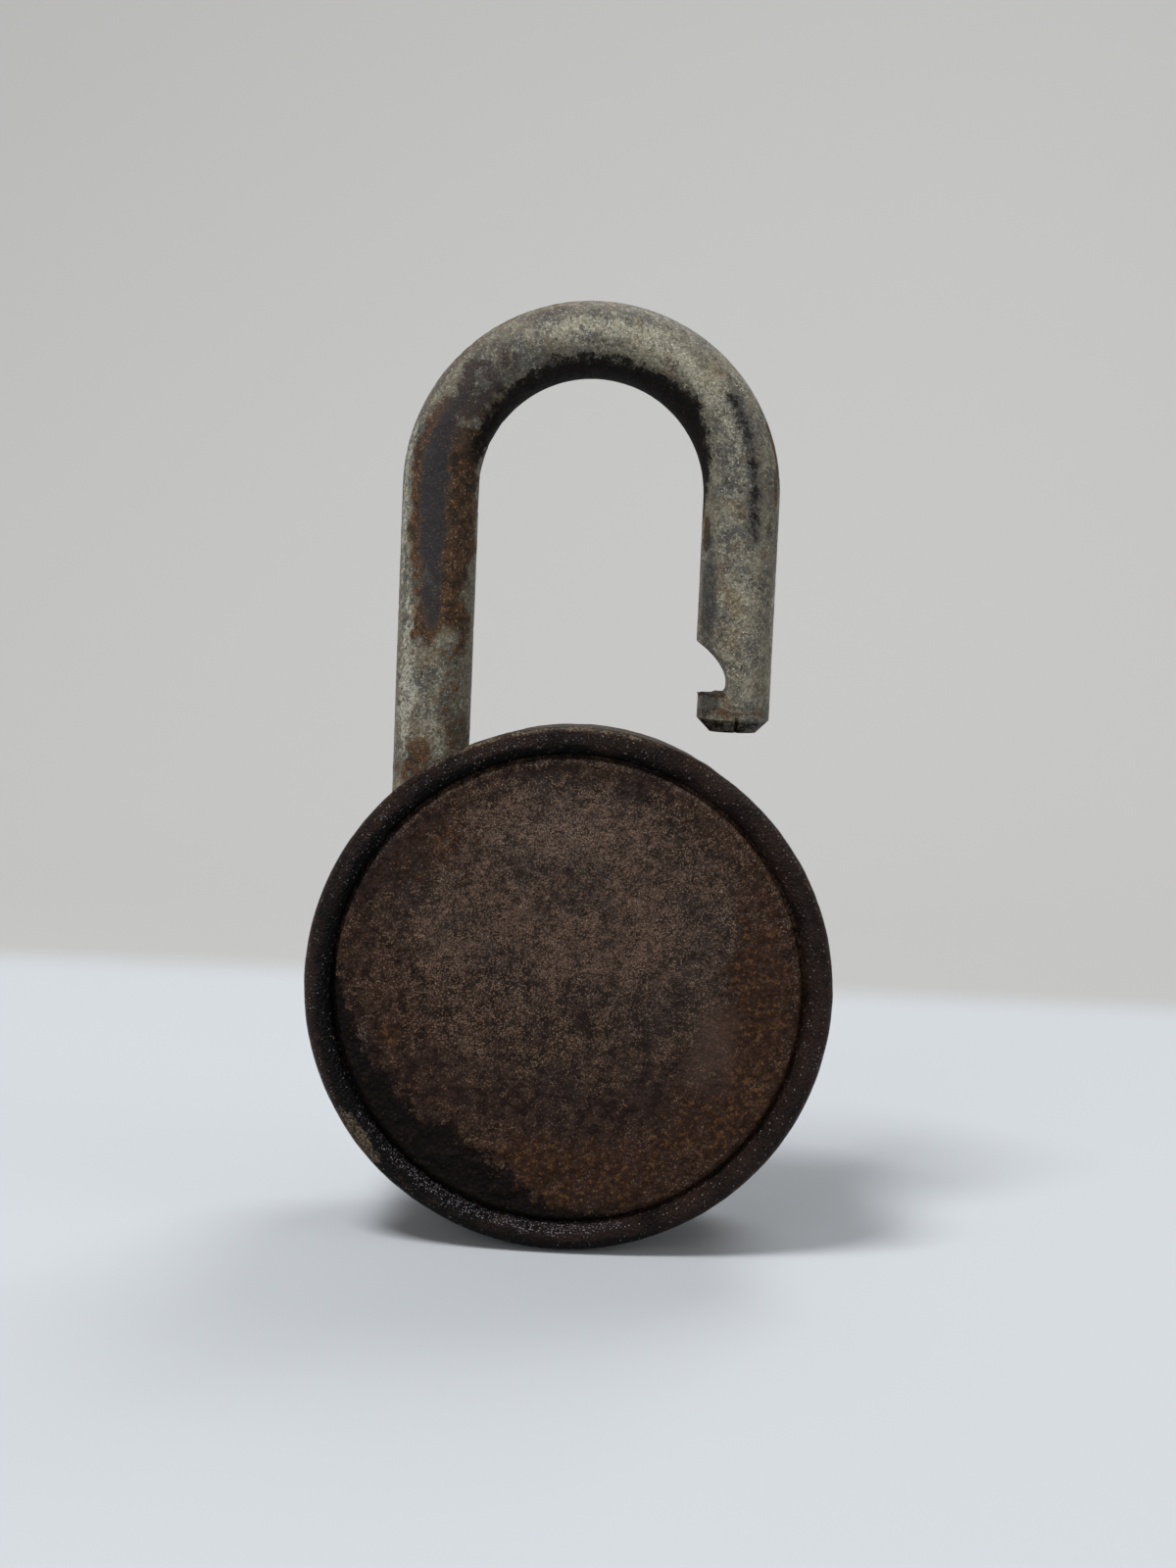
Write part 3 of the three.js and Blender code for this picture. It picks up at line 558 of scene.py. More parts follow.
@dataclass(frozen=True)
class GranularRust:
    """Old sheet steel under a fine crust of tan grains, with orange, black and smooth patches."""

    ground: Colour = (0.0105, 0.0058, 0.0045)
    brown: Colour = (0.031, 0.0175, 0.0118)
    grain: Colour = (0.168, 0.105, 0.071)
    cream: Colour = (0.42, 0.33, 0.24)
    blue_black: Colour = (0.0135, 0.0090, 0.0086)
    chocolate: Colour = (0.040, 0.0208, 0.0150)
    orange: Colour = (0.158, 0.075, 0.028)
    deep_orange: Colour = (0.027, 0.0128, 0.0078)
    soot: Colour = (0.0020, 0.0013, 0.0011)
    soot_brown: Colour = (0.0105, 0.0060, 0.0042)
    mauve: Colour = (0.056, 0.035, 0.026)
    ash: Colour = (0.098, 0.077, 0.066)

    def grains(self, s: Shader, base: Socket, mid: Socket, more: Socket) -> Socket:
        """Tan dots at three sizes, thicker where more is high; the palest, in cream, are painted highlights
        on the grain tips.

        Args:
            s: the material being built.
            base: the colour under the dots.
            mid: noise that gathers them.
            more: how far their levels shift.

        Returns:
            The colour with the dots on it.
        """
        far, tint = s.crystals(7.6)
        clump, clump_tint = s.crystals(3.4)
        gathered = s.sum(more, s.product(s.sum(mid, -0.5), -1.0))
        picked = s.sum(tint, gathered)
        base = s.mix(s.spots(far, (0.35, 0.65), picked, (0.45, 0.64), 0.85), base, self.grain)
        lumps = s.spots(clump, (0.1, 0.42), s.sum(clump_tint, gathered), (0.58, 0.74), 0.5)
        base = s.mix(lumps, base, self.grain)
        # Painted highlights: cream specks on the grain tips.
        return s.mix(s.spots(far, (0.05, 0.32), picked, (0.68, 0.8), 0.8), base, self.cream)

    def make(self) -> bpy.types.Material:
        """Grains over clouds of brown and blue-black, then the patches over both.

        Returns:
            The plate's material.
        """
        s = Shader("granular_rust")
        cloud = s.grain(0.17, 4, 0.65)
        mid = s.grain(0.95, 6, 0.72, 7.0)
        fine = s.grain(4.2, 3, 0.7)
        clump, clump_tint = s.crystals(2.3)
        base = s.mix(s.ramp(cloud, 0.4, 0.58), self.blue_black, self.brown)
        base = s.mix(s.ramp(s.mark("dust"), 0.0, 0.5, 0.6, 0), base, self.chocolate)
        base = s.mix(s.ramp(mid, 0.46, 0.6, 0, 0.9), base, self.ground)
        base = s.mix(s.product(s.mark("dust"), s.ramp(mid, 0.3, 0.62, 0.34, 0.1)), base, self.ash)
        more = s.sum(s.product(s.sum(cloud, -0.5), 0.95), s.product(s.sum(s.mark("dust"), -0.6), 0.3))
        base = self.grains(s, base, mid, more)
        specks = s.spots(clump, (0.1, 0.42), clump_tint, (0.5, 0.66))
        flecks = s.product(s.ramp(s.grain(1.9, 5, 0.75, 15.0), 0.5, 0.62), s.ramp(fine, 0.42, 0.6, 0.35, 1))
        rust = s.mix(s.sum(s.product(specks, 0.22), s.product(flecks, 0.85)), self.deep_orange, self.orange)
        base = s.mix(s.product(s.broken("orange", mid, fine, 0.56, 0.25), 0.85), base, rust)
        base = s.mix(s.product(s.broken("smooth", mid, fine, 0.5, 0.3), 0.55), base, self.mauve)
        wet = s.broken("soot", mid, fine, 0.5, 0.2)
        black = s.mix(s.ramp(mid, 0.5, 0.66, 0, 0.8), self.soot, self.soot_brown)
        black = s.mix(s.spots(clump, (0.05, 0.2), clump_tint, (0.7, 0.8), 0.5), black, self.orange)
        base = s.mix(s.product(wet, 0.97), base, black)
        calm = s.ramp(s.sum(s.product(wet, 0.5), s.product(s.mark("smooth"), 0.8)), 0, 1, 1, 0.3)
        height = s.sum(s.product(fine, 0.8), s.product(clump, -0.9), s.product(mid, 1.1))
        s.relief(s.product(height, calm), 0.24)
        rough = s.sum(s.ramp(fine, 0.3, 0.7, 0.6, 0.8), s.product(wet, -0.3))
        return s.finish(base, rough, 0.0, 0.06)


@dataclass(frozen=True)
class BurntScale:
    """The case's dark scale: near-black brown with a dull sheen, rusty where it is rubbed."""

    black: Colour = (0.0042, 0.0024, 0.0020)
    brown: Colour = (0.0200, 0.0105, 0.0078)
    plum: Colour = (0.0150, 0.0104, 0.0106)
    sparkle: Colour = (0.33, 0.295, 0.335)
    rust: Colour = (0.080, 0.037, 0.0145)
    deep: Colour = (0.034, 0.0165, 0.0090)
    tan: Colour = (0.135, 0.105, 0.070)
    pale: Colour = (0.40, 0.38, 0.35)
    soot: Colour = (0.0018, 0.0012, 0.0011)

    def make(self) -> bpy.types.Material:
        """Clouds of black and brown, a painted highlight band of plum sheen and glints on the bead's crest,
        and rust and tan in their patches.

        Returns:
            The case's material.
        """
        s = Shader("burnt_scale")
        cloud = s.grain(0.2, 4, 0.65)
        mid = s.grain(0.9, 6, 0.72, 5.0)
        fine = s.grain(4.2, 3, 0.7)
        far, tint = s.crystals(4.0)
        base = s.mix(s.ramp(cloud, 0.36, 0.64), self.black, self.brown)
        base = s.mix(s.ramp(mid, 0.5, 0.66, 0, 0.7), base, self.black)
        # Painted highlight: a plum sheen on the bead's crest, where the light from above catches it.
        base = s.mix(s.product(s.broken("plum", mid, fine, 0.5, 0.3), 0.7), base, self.plum)
        base = s.mix(s.spots(far, (0.1, 0.4), tint, (0.52, 0.66), 0.75), base, self.deep)
        crust = s.broken("rust", mid, fine, 0.62, 0.25)
        flaked = s.sum(s.ramp(fine, 0.5, 0.64, 0, 0.7), s.ramp(tint, 0.58, 0.72, 0, 0.6))
        base = s.mix(s.product(crust, 0.85), base, s.mix(flaked, self.deep, self.rust))
        # On the case the soot mark is partly painted shade, in the bead's valley and under it.
        base = s.mix(s.broken("soot", mid, fine, 0.5, 0.15), base, self.soot)
        dusty = s.product(s.broken("tan", mid, fine, 0.58, 0.25), s.ramp(fine, 0.38, 0.6, 0.1, 0.9))
        base = s.mix(dusty, base, self.tan)
        # Painted glints: pale specks on the middles of the cells.
        picked = s.sum(tint, s.product(s.sum(cloud, -0.5), 0.3))
        base = s.mix(s.spots(far, (0.08, 0.32), picked, (0.7, 0.78), 0.7), base, self.pale)
        # Painted glints: sparkle specks, thickest on the painted highlight band.
        small, small_tint = s.crystals(7.2)
        lit = s.sum(small_tint, s.product(s.sum(mid, -0.5), 0.9), s.product(s.mark("plum"), 0.39))
        base = s.mix(s.spots(small, (0.1, 0.5), lit, (0.86, 1.02), 0.8), base, self.sparkle)
        s.relief(s.sum(s.product(fine, 0.9), s.product(mid, 1.1), s.product(far, -0.9)), 0.2)
        crusty = s.sum(s.product(crust, 0.35), s.product(s.mark("tan"), 0.3))
        return s.finish(base, s.sum(s.ramp(mid, 0.35, 0.7, 0.3, 0.44), crusty), 0.0, 0.08)


@dataclass(frozen=True)
class OldZinc:
    """The shackle's dull plating: mottled grey, with rust, grime darkened further as painted shade under the
    bow, oxide partly painted as light, a painted highlight band, and a bruised core.
    """

    light: Colour = (0.315, 0.298, 0.222)
    bright: Colour = (0.60, 0.59, 0.49)
    grey: Colour = (0.150, 0.135, 0.101)
    cool: Colour = (0.074, 0.071, 0.065)
    dark: Colour = (0.026, 0.0215, 0.0155)
    warm: Colour = (0.140, 0.104, 0.062)
    grime: Colour = (0.0036, 0.0027, 0.0022)
    grime_brown: Colour = (0.030, 0.0180, 0.0110)
    rust: Colour = (0.180, 0.088, 0.038)
    brown: Colour = (0.0195, 0.0120, 0.0080)
    red_brown: Colour = (0.066, 0.0360, 0.0200)
    ochre: Colour = (0.33, 0.232, 0.130)
    bruise: Colour = (0.0240, 0.0222, 0.0250)
    oxide: Colour = (0.42, 0.405, 0.33)
    mauve: Colour = (0.072, 0.056, 0.051)

    def plating(self, s: Shader, mid: Socket, fine: Socket, far: Socket, tint: Socket) -> Socket:
        """The zinc itself: clouds, mottles and specks, brighter on the painted highlight band, with painted
        glints.

        Args:
            s: the material being built.
            mid: noise with lumps of about a millimetre.
            fine: noise with lumps of about a quarter of a millimetre.
            far: distances to the middles of small cells.
            tint: a random value for each cell.

        Returns:
            The colour.
        """
        cloud = s.grain(0.27, 4, 0.65)
        # Painted highlight: the highlight band lightens the plating and thickens its pale flecks and glints.
        worn = s.product(s.mark("painted_highlight"), 0.055)
        both = s.sum(s.product(mid, 0.6), s.product(fine, 0.4), worn)
        base = s.mix(s.ramp(cloud, 0.38, 0.62), self.cool, self.grey)
        base = s.mix(s.ramp(s.grain(0.4, 4, 0.65, 31.0), 0.48, 0.66, 0, 0.8), base, self.warm)
        base = s.mix(s.ramp(both, 0.5, 0.62, 0, 0.85), base, self.light)
        base = s.mix(s.ramp(both, 0.38, 0.48, 0.85, 0), base, self.dark)
        base = s.mix(s.product(s.patch("mauve", mid, 0.5, 0.3, 1.2), 0.85), base, self.mauve)
        base = s.mix(s.ramp(s.sum(s.grain(3.0, 5, 0.8, 51.0), worn), 0.54, 0.62, 0, 0.85), base, self.light)
        base = s.mix(s.ramp(s.grain(2.4, 6, 0.85, 71.0), 0.545, 0.63, 0, 0.9), base, self.dark)
        base = s.mix(s.ramp(s.sum(s.grain(4.6, 4, 0.8, 91.0), worn), 0.6, 0.68, 0, 0.9), base, self.bright)
        # Painted glints: bright specks, thickest on the painted highlight band.
        glints = s.spots(far, (0.05, 0.34), s.sum(tint, worn), (0.68, 0.8), 0.85)
        return s.mix(s.product(glints, s.ramp(mid, 0.45, 0.58)), base, self.bright)

    def make(self) -> bpy.types.Material:
        """The plating, then each patch with its own broken edge and its own specks.

        Returns:
            The shackle's material.
        """
        s = Shader("old_zinc")
        mid = s.grain(1.05, 6, 0.72, 11.0)
        fine = s.grain(3.6, 4, 0.78, 2.0)
        far, tint = s.crystals(4.4)
        base = self.plating(s, mid, fine, far, tint)
        # Oxide with painted light: the pale patch on the heel leg's side also stands for the light falling on
        # it.
        chalk_and_highlight = s.product(s.broken("oxide", mid, fine, 0.54, 0.2), s.ramp(fine, 0.38, 0.58, 0.2, 0.8))
        base = s.mix(chalk_and_highlight, base, self.oxide)
        speck = s.spots(far, (0.12, 0.45), tint, (0.5, 0.66))
        crumbs = s.mix(s.ramp(mid, 0.42, 0.58), self.brown, self.red_brown)
        reddened = s.product(s.ramp(fine, 0.52, 0.62), s.ramp(mid, 0.4, 0.6, 0.25, 0.9))
        crumbs = s.mix(reddened, crumbs, self.rust)
        crumbs = s.mix(s.product(speck, s.ramp(mid, 0.4, 0.6, 0.15, 0.9)), crumbs, self.ochre)
        base = s.mix(s.broken("rust", mid, fine, 0.52, 0.16), base, crumbs)
        base = s.mix(s.product(s.mark("bruise"), 0.5), base, self.cool)
        bruised = s.broken("bruise", mid, fine, 0.52, 0.3)
        base = s.mix(s.product(bruised, s.ramp(fine, 0.52, 0.66, 0.95, 0.35)), base, self.bruise)
        # Grime with painted shade: near-black under the bow, where grime lies and shade falls.
        crumbly = s.ramp(s.sum(fine, s.product(speck, 0.1)), 0.54, 0.66, 0, 0.85)
        black = s.mix(crumbly, self.grime, self.grime_brown)
        base = s.mix(s.broken("grime", mid, fine, 0.5, 0.2), base, black)
        s.relief(s.sum(s.product(mid, 1.3), fine, s.product(far, -0.5)), 0.11)
        crust = s.product(s.broken("rust", mid, fine, 0.5, 0.2), 0.2)
        greasy = s.product(s.mark("grime"), 0.3)
        # The painted highlight band is also a little glossier.
        worn = s.product(s.mark("painted_highlight"), -0.1)
        return s.finish(base, s.sum(s.ramp(mid, 0.3, 0.7, 0.4, 0.56), crust, greasy, worn), 0.0, 0.12)


@dataclass(frozen=True)
class Tarnish:
    """Metal that has sat in the damp: its own colour under clouds of tarnish and specks of rust.

    Fields:
        name: the material's name.
        bright: the metal's colour.
        dull: the tarnish's colour.
        spots: the colour of the specks.
        metal: the metalness.
        rusting: how much is speckled, from 0 to 1.
    """

    name: str
    bright: Colour
    dull: Colour
    spots: Colour
    metal: float
    rusting: float

    def make(self) -> bpy.types.Material:
        """Bright and dull clouds, then specks where fine noise passes a level set by rusting.

        Returns:
            The metal's material.
        """
        s = Shader(self.name)
        cloud = s.grain(0.45, 4, 0.65)
        fine = s.grain(3.0, 3, 0.7, 4.0)
        base = s.mix(s.ramp(cloud, 0.36, 0.66), self.bright, self.dull)
        level = 0.72 - 0.25 * self.rusting
        both = s.sum(s.product(fine, 0.6), s.product(cloud, 0.4))
        base = s.mix(s.ramp(both, level - 0.06, level + 0.06), base, self.spots)
        s.relief(s.sum(fine, cloud), 0.04)
        return s.finish(base, s.ramp(fine, 0.3, 0.7, 0.4, 0.68), self.metal, 0.4)


@dataclass(frozen=True)
class WornPaint:
    """Black paint on die-cast metal, rubbed to grey on its edges, dusty and spotted with rust."""

    paint: Colour = (0.010, 0.0095, 0.0095)
    dust: Colour = (0.060, 0.048, 0.038)
    bare: Colour = (0.15, 0.14, 0.125)
    rust: Colour = (0.080, 0.033, 0.013)

    def make(self) -> bpy.types.Material:
        """Paint under dusty clouds, chipped where the wear mark and noise meet.

        Returns:
            The dial's material.
        """
        s = Shader("worn_paint")
        cloud = s.grain(0.3, 4, 0.65)
        mid = s.grain(1.6, 3, 0.7, 9.0)
        fine = s.grain(5.0, 2, 0.6)
        chipped = s.broken("wear", mid, fine, 0.78, 0.08)
        base = s.mix(s.ramp(cloud, 0.42, 0.72, 0, 0.75), self.paint, self.dust)
        both = s.sum(s.product(mid, 0.6), s.product(fine, 0.4))
        base = s.mix(s.ramp(both, 0.57, 0.66, 0, 0.8), base, self.rust)
        base = s.mix(chipped, base, s.mix(s.ramp(fine, 0.45, 0.62), self.bare, self.rust))
        s.relief(s.sum(s.product(chipped, -1.0), s.product(fine, 0.4), s.product(mid, 0.5)), 0.06)
        rough = s.sum(s.ramp(mid, 0.3, 0.7, 0.36, 0.6), s.product(chipped, 0.1))
        return s.finish(base, rough, s.product(chipped, 0.6), 0.45)


@dataclass(frozen=True)
class FadedWhite:
    """The dial's white filling, yellowed and worn thin in places."""

    white: Colour = (0.52, 0.49, 0.41)
    grubby: Colour = (0.15, 0.115, 0.075)

    def make(self) -> bpy.types.Material:
        """White that goes grubby with noise.

        Returns:
            The numbers' material.
        """
        s = Shader("faded_white")
        fine = s.grain(2.2, 4, 0.7)
        base = s.mix(s.ramp(fine, 0.42, 0.66), self.white, self.grubby)
        s.relief(fine, 0.02)
        return s.finish(base, s.ramp(fine, 0.3, 0.7, 0.5, 0.75), 0.0, 0.3)


@dataclass(frozen=True)
class StudioPaper:
    """The pale floor: cool white near by, and grey further back, painted as the shade of a wall that gets
    less of the light from above.
    """

    near: Colour = (0.475, 0.500, 0.530)
    far: Colour = (0.40, 0.40, 0.395)
    turns_at: float = 115.0
    turns_over: float = 25.0

    def make(self) -> bpy.types.Material:
        """The two colours, changing over with the distance back in millimetres.

        Returns:
            The floor's material.
        """
        s = Shader("studio_paper")
        split = s.tree.nodes.new("ShaderNodeSeparateXYZ")
        s.tree.links.new(s.place, split.inputs[0])
        # Painted shade: further back the floor turns grey, as a wall under light from above is.
        back = s.ramp(split.outputs["Y"], self.turns_at, self.turns_at + self.turns_over)
        colour = s.mix(back, self.near, self.far)
        return s.finish(colour, 0.9, 0.0, 0.1)


def dress(piece: bpy.types.Object, material: bpy.types.Material) -> None:
    """Gives a piece one material in place of what it has."""
    piece.data.materials.clear()
    piece.data.materials.append(material)


def place(
    piece: bpy.types.Object, body: Body, slot: Slot, stands_for: Sequence[str] = ()
) -> bpy.types.Object:
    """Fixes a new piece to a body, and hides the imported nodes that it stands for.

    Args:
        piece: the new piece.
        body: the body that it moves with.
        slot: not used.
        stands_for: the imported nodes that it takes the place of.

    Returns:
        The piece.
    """
    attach(piece, body.value)
    if stands_for:
        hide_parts(*stands_for)
    log.info("%s: %d faces, rides on %s", piece.name, len(piece.data.polygons), body.value)
    return piece


@dataclass
class Case:
    """The drawn cup with its rolled rim, and the pressed plate that the rim holds.

    Sizes are in millimetres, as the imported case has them. skin_sunk and plate_sunk are how far the
    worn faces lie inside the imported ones. soot_from is the radius at which the plate's black patch
    begins at each angle of soot_deg. hole_block is the half size of the block of cells that becomes
    a leg's hole, as a share of the hole's radius, and hole_fade is how many times that size round it
    the grid is pulled towards the hole.
    """

    centre_z: float
    rim_r: float = 23.9
    tube_r: float = 1.3
    rim_wall: float = 0.8
    drum_r: float = 23.2
    sheet: float = 0.95
    front_y: float = 10.3
    back_y: float = -10.25
    front_round: float = 3.0
    post_hole_r: float = 3.3
    leg_x: float = 13.89
    hole_r: float = 3.82
    hole_block: float = 0.9
    hole_fade: float = 2.2
    columns: int = 600
    drum_rows: int = 34
    plate_r: float = 21.0
    plate_y: float = -9.6
    plate_sheet: float = 1.1
    plate_round: float = 0.45
    flange_r: float = 21.95
    flange_gap: float = 0.3
    plate_columns: int = 540
    face_rows: int = 122
    round_rows: int = 7
    flange_rows: int = 3
    skin_sunk: float = 0.095
    plate_sunk: float = 0.045
    dent: float = 0.28
    soot_deg: tuple[float, ...] = (172, 180, 194, 211, 225, 231, 244, 253, 257, 262, 268, 275, 284, 292)
    soot_from: tuple[float, ...] = (
        21.6, 20.4, 19.3, 17.7, 18.0, 16.2, 16.6, 16.9, 18.2, 19.0, 19.6, 20.2, 20.7, 21.8,
    )

    def skin_profile(self) -> tuple[np.ndarray, int, int, int]:
        """The cup's section as one loop of radius and Y.

        Returns:
            The loop, where the drum's outer rows start in it, how many rows can be seen from
            outside, and where the drum's inner rows start.
        """
        ring_r = self.rim_r - self.tube_r
        ring_y = self.back_y + self.tube_r
        inner_r = self.drum_r - self.sheet
        corner = (self.drum_r - self.front_round, self.front_y - self.front_round)
        meet = 90 - math.degrees(math.asin((self.drum_r - ring_r) / self.tube_r))
        drum_low_y = ring_y + self.tube_r * math.sin(math.radians(meet))
        closer_r = corner[0] - self.front_round
        outside = [
            line((self.post_hole_r, self.front_y), (closer_r, self.front_y), 14),
            line((closer_r, self.front_y), (corner[0], self.front_y), 8),
            arc(corner, self.front_round, 90, 0, 10),
        ]
        outer_start = sum(map(len, outside))
        outside += [
            line((self.drum_r, corner[1]), (self.drum_r, drum_low_y), self.drum_rows),
            arc((ring_r, ring_y), self.tube_r, meet, -180, 30),
        ]
        inside = [
            line((ring_r - self.tube_r, ring_y), (ring_r - self.tube_r + self.rim_wall, ring_y), 2),
            arc((ring_r, ring_y), self.tube_r - self.rim_wall, -180, 0, 8),
        ]
        shown = sum(map(len, outside))
        inner_start = shown + sum(map(len, inside))
        inside_y = self.front_y - self.sheet
        inside += [
            line((inner_r, drum_low_y), (inner_r, corner[1]), self.drum_rows),
            arc(corner, self.front_round - self.sheet, 0, 90, 5),
            line((corner[0], inside_y), (self.post_hole_r, inside_y), 5),
            line((self.post_hole_r, inside_y), (self.post_hole_r, self.front_y), 2),
        ]
        return np.concatenate(outside + inside), outer_start, shown, inner_start

    def open_hole(
        self, points: np.ndarray, rows: slice, leg_x: float, radius_of_wall: float
    ) -> tuple[np.ndarray, tuple[int, int, int, int]]:
        """Moves the grid's points aside so that a block of its cells becomes a round hole for a leg.

        The block's edge goes onto the hole's circle in X and Y. Outside it the shift fades with the
        distance from the block, and Z follows the wall's own radius.

        Args:
            points: the grid, changed in place.
            rows: the drum's rows in it.
            leg_x: the leg's X.
            radius_of_wall: the wall's radius.

        Returns:
            The grid, and the block's first and last row and first and last column.
        """
        height = points[rows, 0, 1]
        half = self.hole_r * self.hole_block
        near = np.flatnonzero(np.abs(height) < half) + rows.start
        row_0, row_1 = near[0] - 1, near[-1] + 1
        step = 2 * np.pi / self.columns
        middle = math.asin(leg_x / self.drum_r)
        reach = half / (self.drum_r * math.cos(middle))
        col_0, col_1 = round((middle - reach) / step), round((middle + reach) / step)
        half_rows, half_cols = (row_1 - row_0) / 2, (col_1 - col_0) / 2
        extra_rows = min(row_0 - rows.start, rows.stop - 1 - row_1)
        extra_cols = int(half_cols * (self.hole_fade - 1))
        index_r = np.arange(row_0 - extra_rows, row_1 + extra_rows + 1)
        index_c = np.arange(col_0 - extra_cols, col_1 + extra_cols + 1)
        across = (index_c - (col_0 + col_1) / 2) / half_cols
        sign = np.sign(height[-1] - height[0])
        down = sign * (index_r - (row_0 + row_1) / 2) / half_rows
        p, q = np.meshgrid(across, down)
        far = np.maximum(np.abs(p), np.abs(q))
        share = smooth((self.hole_fade - far) / (self.hole_fade - 1))
        angle = np.arctan2(q, p)
        round_x = leg_x + self.hole_r * far * np.cos(angle)
        round_y = self.hole_r * far * np.sin(angle)
        block = np.ix_(index_r, index_c % self.columns)
        old = points[block]
        x = old[..., 0] * (1 - share) + round_x * share
        y = old[..., 1] * (1 - share) + round_y * share
        z = self.centre_z + np.sqrt(radius_of_wall**2 - np.minimum(np.abs(x), radius_of_wall) ** 2)
        points[block] = np.stack([x, y, z], axis=-1)
        return points, (row_0, row_1, col_0 % self.columns, col_1 % self.columns)

    @staticmethod
    def block_edge(numbers: np.ndarray, block: tuple[int, int, int, int]) -> np.ndarray:
        """The points round a block of cells, in order and closed.

        Args:
            numbers: the number of each point of the grid.
            block: the block's first and last row and first and last column.

        Returns:
            The numbers of the points, the first one again at the end.
        """
        row_0, row_1, col_0, col_1 = block
        part = numbers[row_0:row_1 + 1, col_0:col_1 + 1]
        loop = np.concatenate([part[0, :-1], part[:-1, -1], part[-1, :0:-1], part[:0:-1, 0]])
        return np.append(loop, loop[0])

    def skin(self) -> Surface:
        """The whole cup, holed for the legs, dented and pitted.

        Returns:
            A closed surface with its marks: rust, plum (a painted highlight on the bead), soot (soot, and
                painted shade in the bead's valley and under it) and tan.
        """
        profile, outer_start, shown, inner_start = self.skin_profile()
        points = revolve(profile, self.columns, self.centre_z)
        smooth_points = points.copy()
        dropped = np.zeros(points.shape[:2], bool)
        numbers = np.arange(dropped.size).reshape(dropped.shape)
        bridges = []
        for leg_x in (-self.leg_x, self.leg_x):
            edges = []
            for start, wall_r in ((outer_start, self.drum_r), (inner_start, self.drum_r - self.sheet)):
                rows = slice(start, start + self.drum_rows)
                points, block = self.open_hole(points, rows, leg_x, wall_r)
                dropped[block[0]:block[1], block[2]:block[3]] = True
                edges.append(self.block_edge(numbers, block))
            outer, inner = edges[0], self.turned_over(edges[1], numbers, block)
            bridges.append(np.stack([outer[:-1], outer[1:], inner[1:], inner[:-1]], axis=-1))
        relief, marks = self.skin_wear(points, smooth_points, shown)
        normals = outward(smooth_points, True, True)
        out = np.sign(np.sum(normals * self.off_section(smooth_points, profile), axis=-1, keepdims=True))
        points = points + normals * out * relief[..., None]
        return Surface(points, True, True, dropped=dropped, bridges=np.concatenate(bridges), marks=marks)

    @staticmethod
    def turned_over(loop: np.ndarray, numbers: np.ndarray, block: tuple[int, int, int, int]) -> np.ndarray:
        """The inner wall's loop in the outer wall's order: its rows run the other way along Y.

        Args:
            loop: the numbers of the points round the inner wall's block.
            numbers: the number of each point of the grid.
            block: the inner wall's block.

        Returns:
            The same points, each row changed for the one that mirrors it in the block.
        """
        columns = numbers.shape[1]
        row, column = loop // columns, loop % columns
        return (block[0] + block[1] - row) * columns + column

    def off_section(self, points: np.ndarray, profile: np.ndarray) -> np.ndarray:
        """Directions that point out of the sheet: away from the middle line of its section.

        Args:
            points: the grid that the section makes when it is turned.
            profile: the section, rows of radius and Y.

        Returns:
            Rows by columns by X, Y and Z, not of length 1.
        """
        middle = np.roll(profile, -1, 0) - np.roll(profile, 1, 0)
        side = np.stack([middle[:, 1], -middle[:, 0]], axis=-1)
        area = np.sum(profile[:, 0] * np.roll(profile[:, 1], -1) - np.roll(profile[:, 0], -1) * profile[:, 1])
        side = side * np.sign(area)
        radius = np.hypot(points[..., 0], points[..., 2] - self.centre_z)
        x = side[:, :1] * points[..., 0] / radius
        z = side[:, :1] * (points[..., 2] - self.centre_z) / radius
        return np.stack([x, np.broadcast_to(side[:, 1:], x.shape), z], axis=-1)

    def skin_wear(
        self, points: np.ndarray, flat: np.ndarray, shown: int
    ) -> tuple[np.ndarray, dict[str, np.ndarray]]:
        """How far the skin stands out or in, and where its stains lie.

        Args:
            points: the grid with its holes.
            flat: the grid before them.
            shown: how many rows can be seen from outside.

        Returns:
            The relief in millimetres, and the marks.
        """
        x, y, z = flat[..., 0], flat[..., 1], flat[..., 2] - self.centre_z
        radius = np.hypot(x, z)
        angle = np.degrees(np.arctan2(z, x)) % 360
        coarse = noise(points, 2.4, 3, 3)
        fine = noise(points, 0.7, 5, 2)
        broad = noise(points, 9, 7, 2)
        scale = smooth((noise(points, 3.2, 9, 3) - 0.12) * 6)
        outside = np.arange(len(flat)) < shown
        on_drum = smooth((y + 8.2) / 1.2)
        relief = -self.skin_sunk + 0.03 * coarse + 0.022 * fine + 0.03 * broad
        relief += on_drum * (0.01 * broad - 0.05 * scale)
        near_hole = np.hypot(np.abs(points[..., 0]) - self.leg_x, points[..., 1])
        top = (z > 0) & (np.abs(y) < 8)
        relief = np.where(top & (near_hole < self.hole_r + 1.2), relief * 0.3, relief)
        relief = np.where(outside[:, None], relief, 0.0)
        bead = smooth((-y - 7.6) / 0.8)
        # Soot with painted shade: black on the bead's inner slope in the valley by the plate, and under the
        # bead at the bottom, where shade falls.
        dark = [
            Stain((205, 21.4), (55, 1.5)),
            Stain((128, 21.4), (55, 0.9)),
            Stain((258, 23.6), (42, 0.8), 0.9),
        ]
        soot_and_shade = stained(dark, angle, radius, coarse)
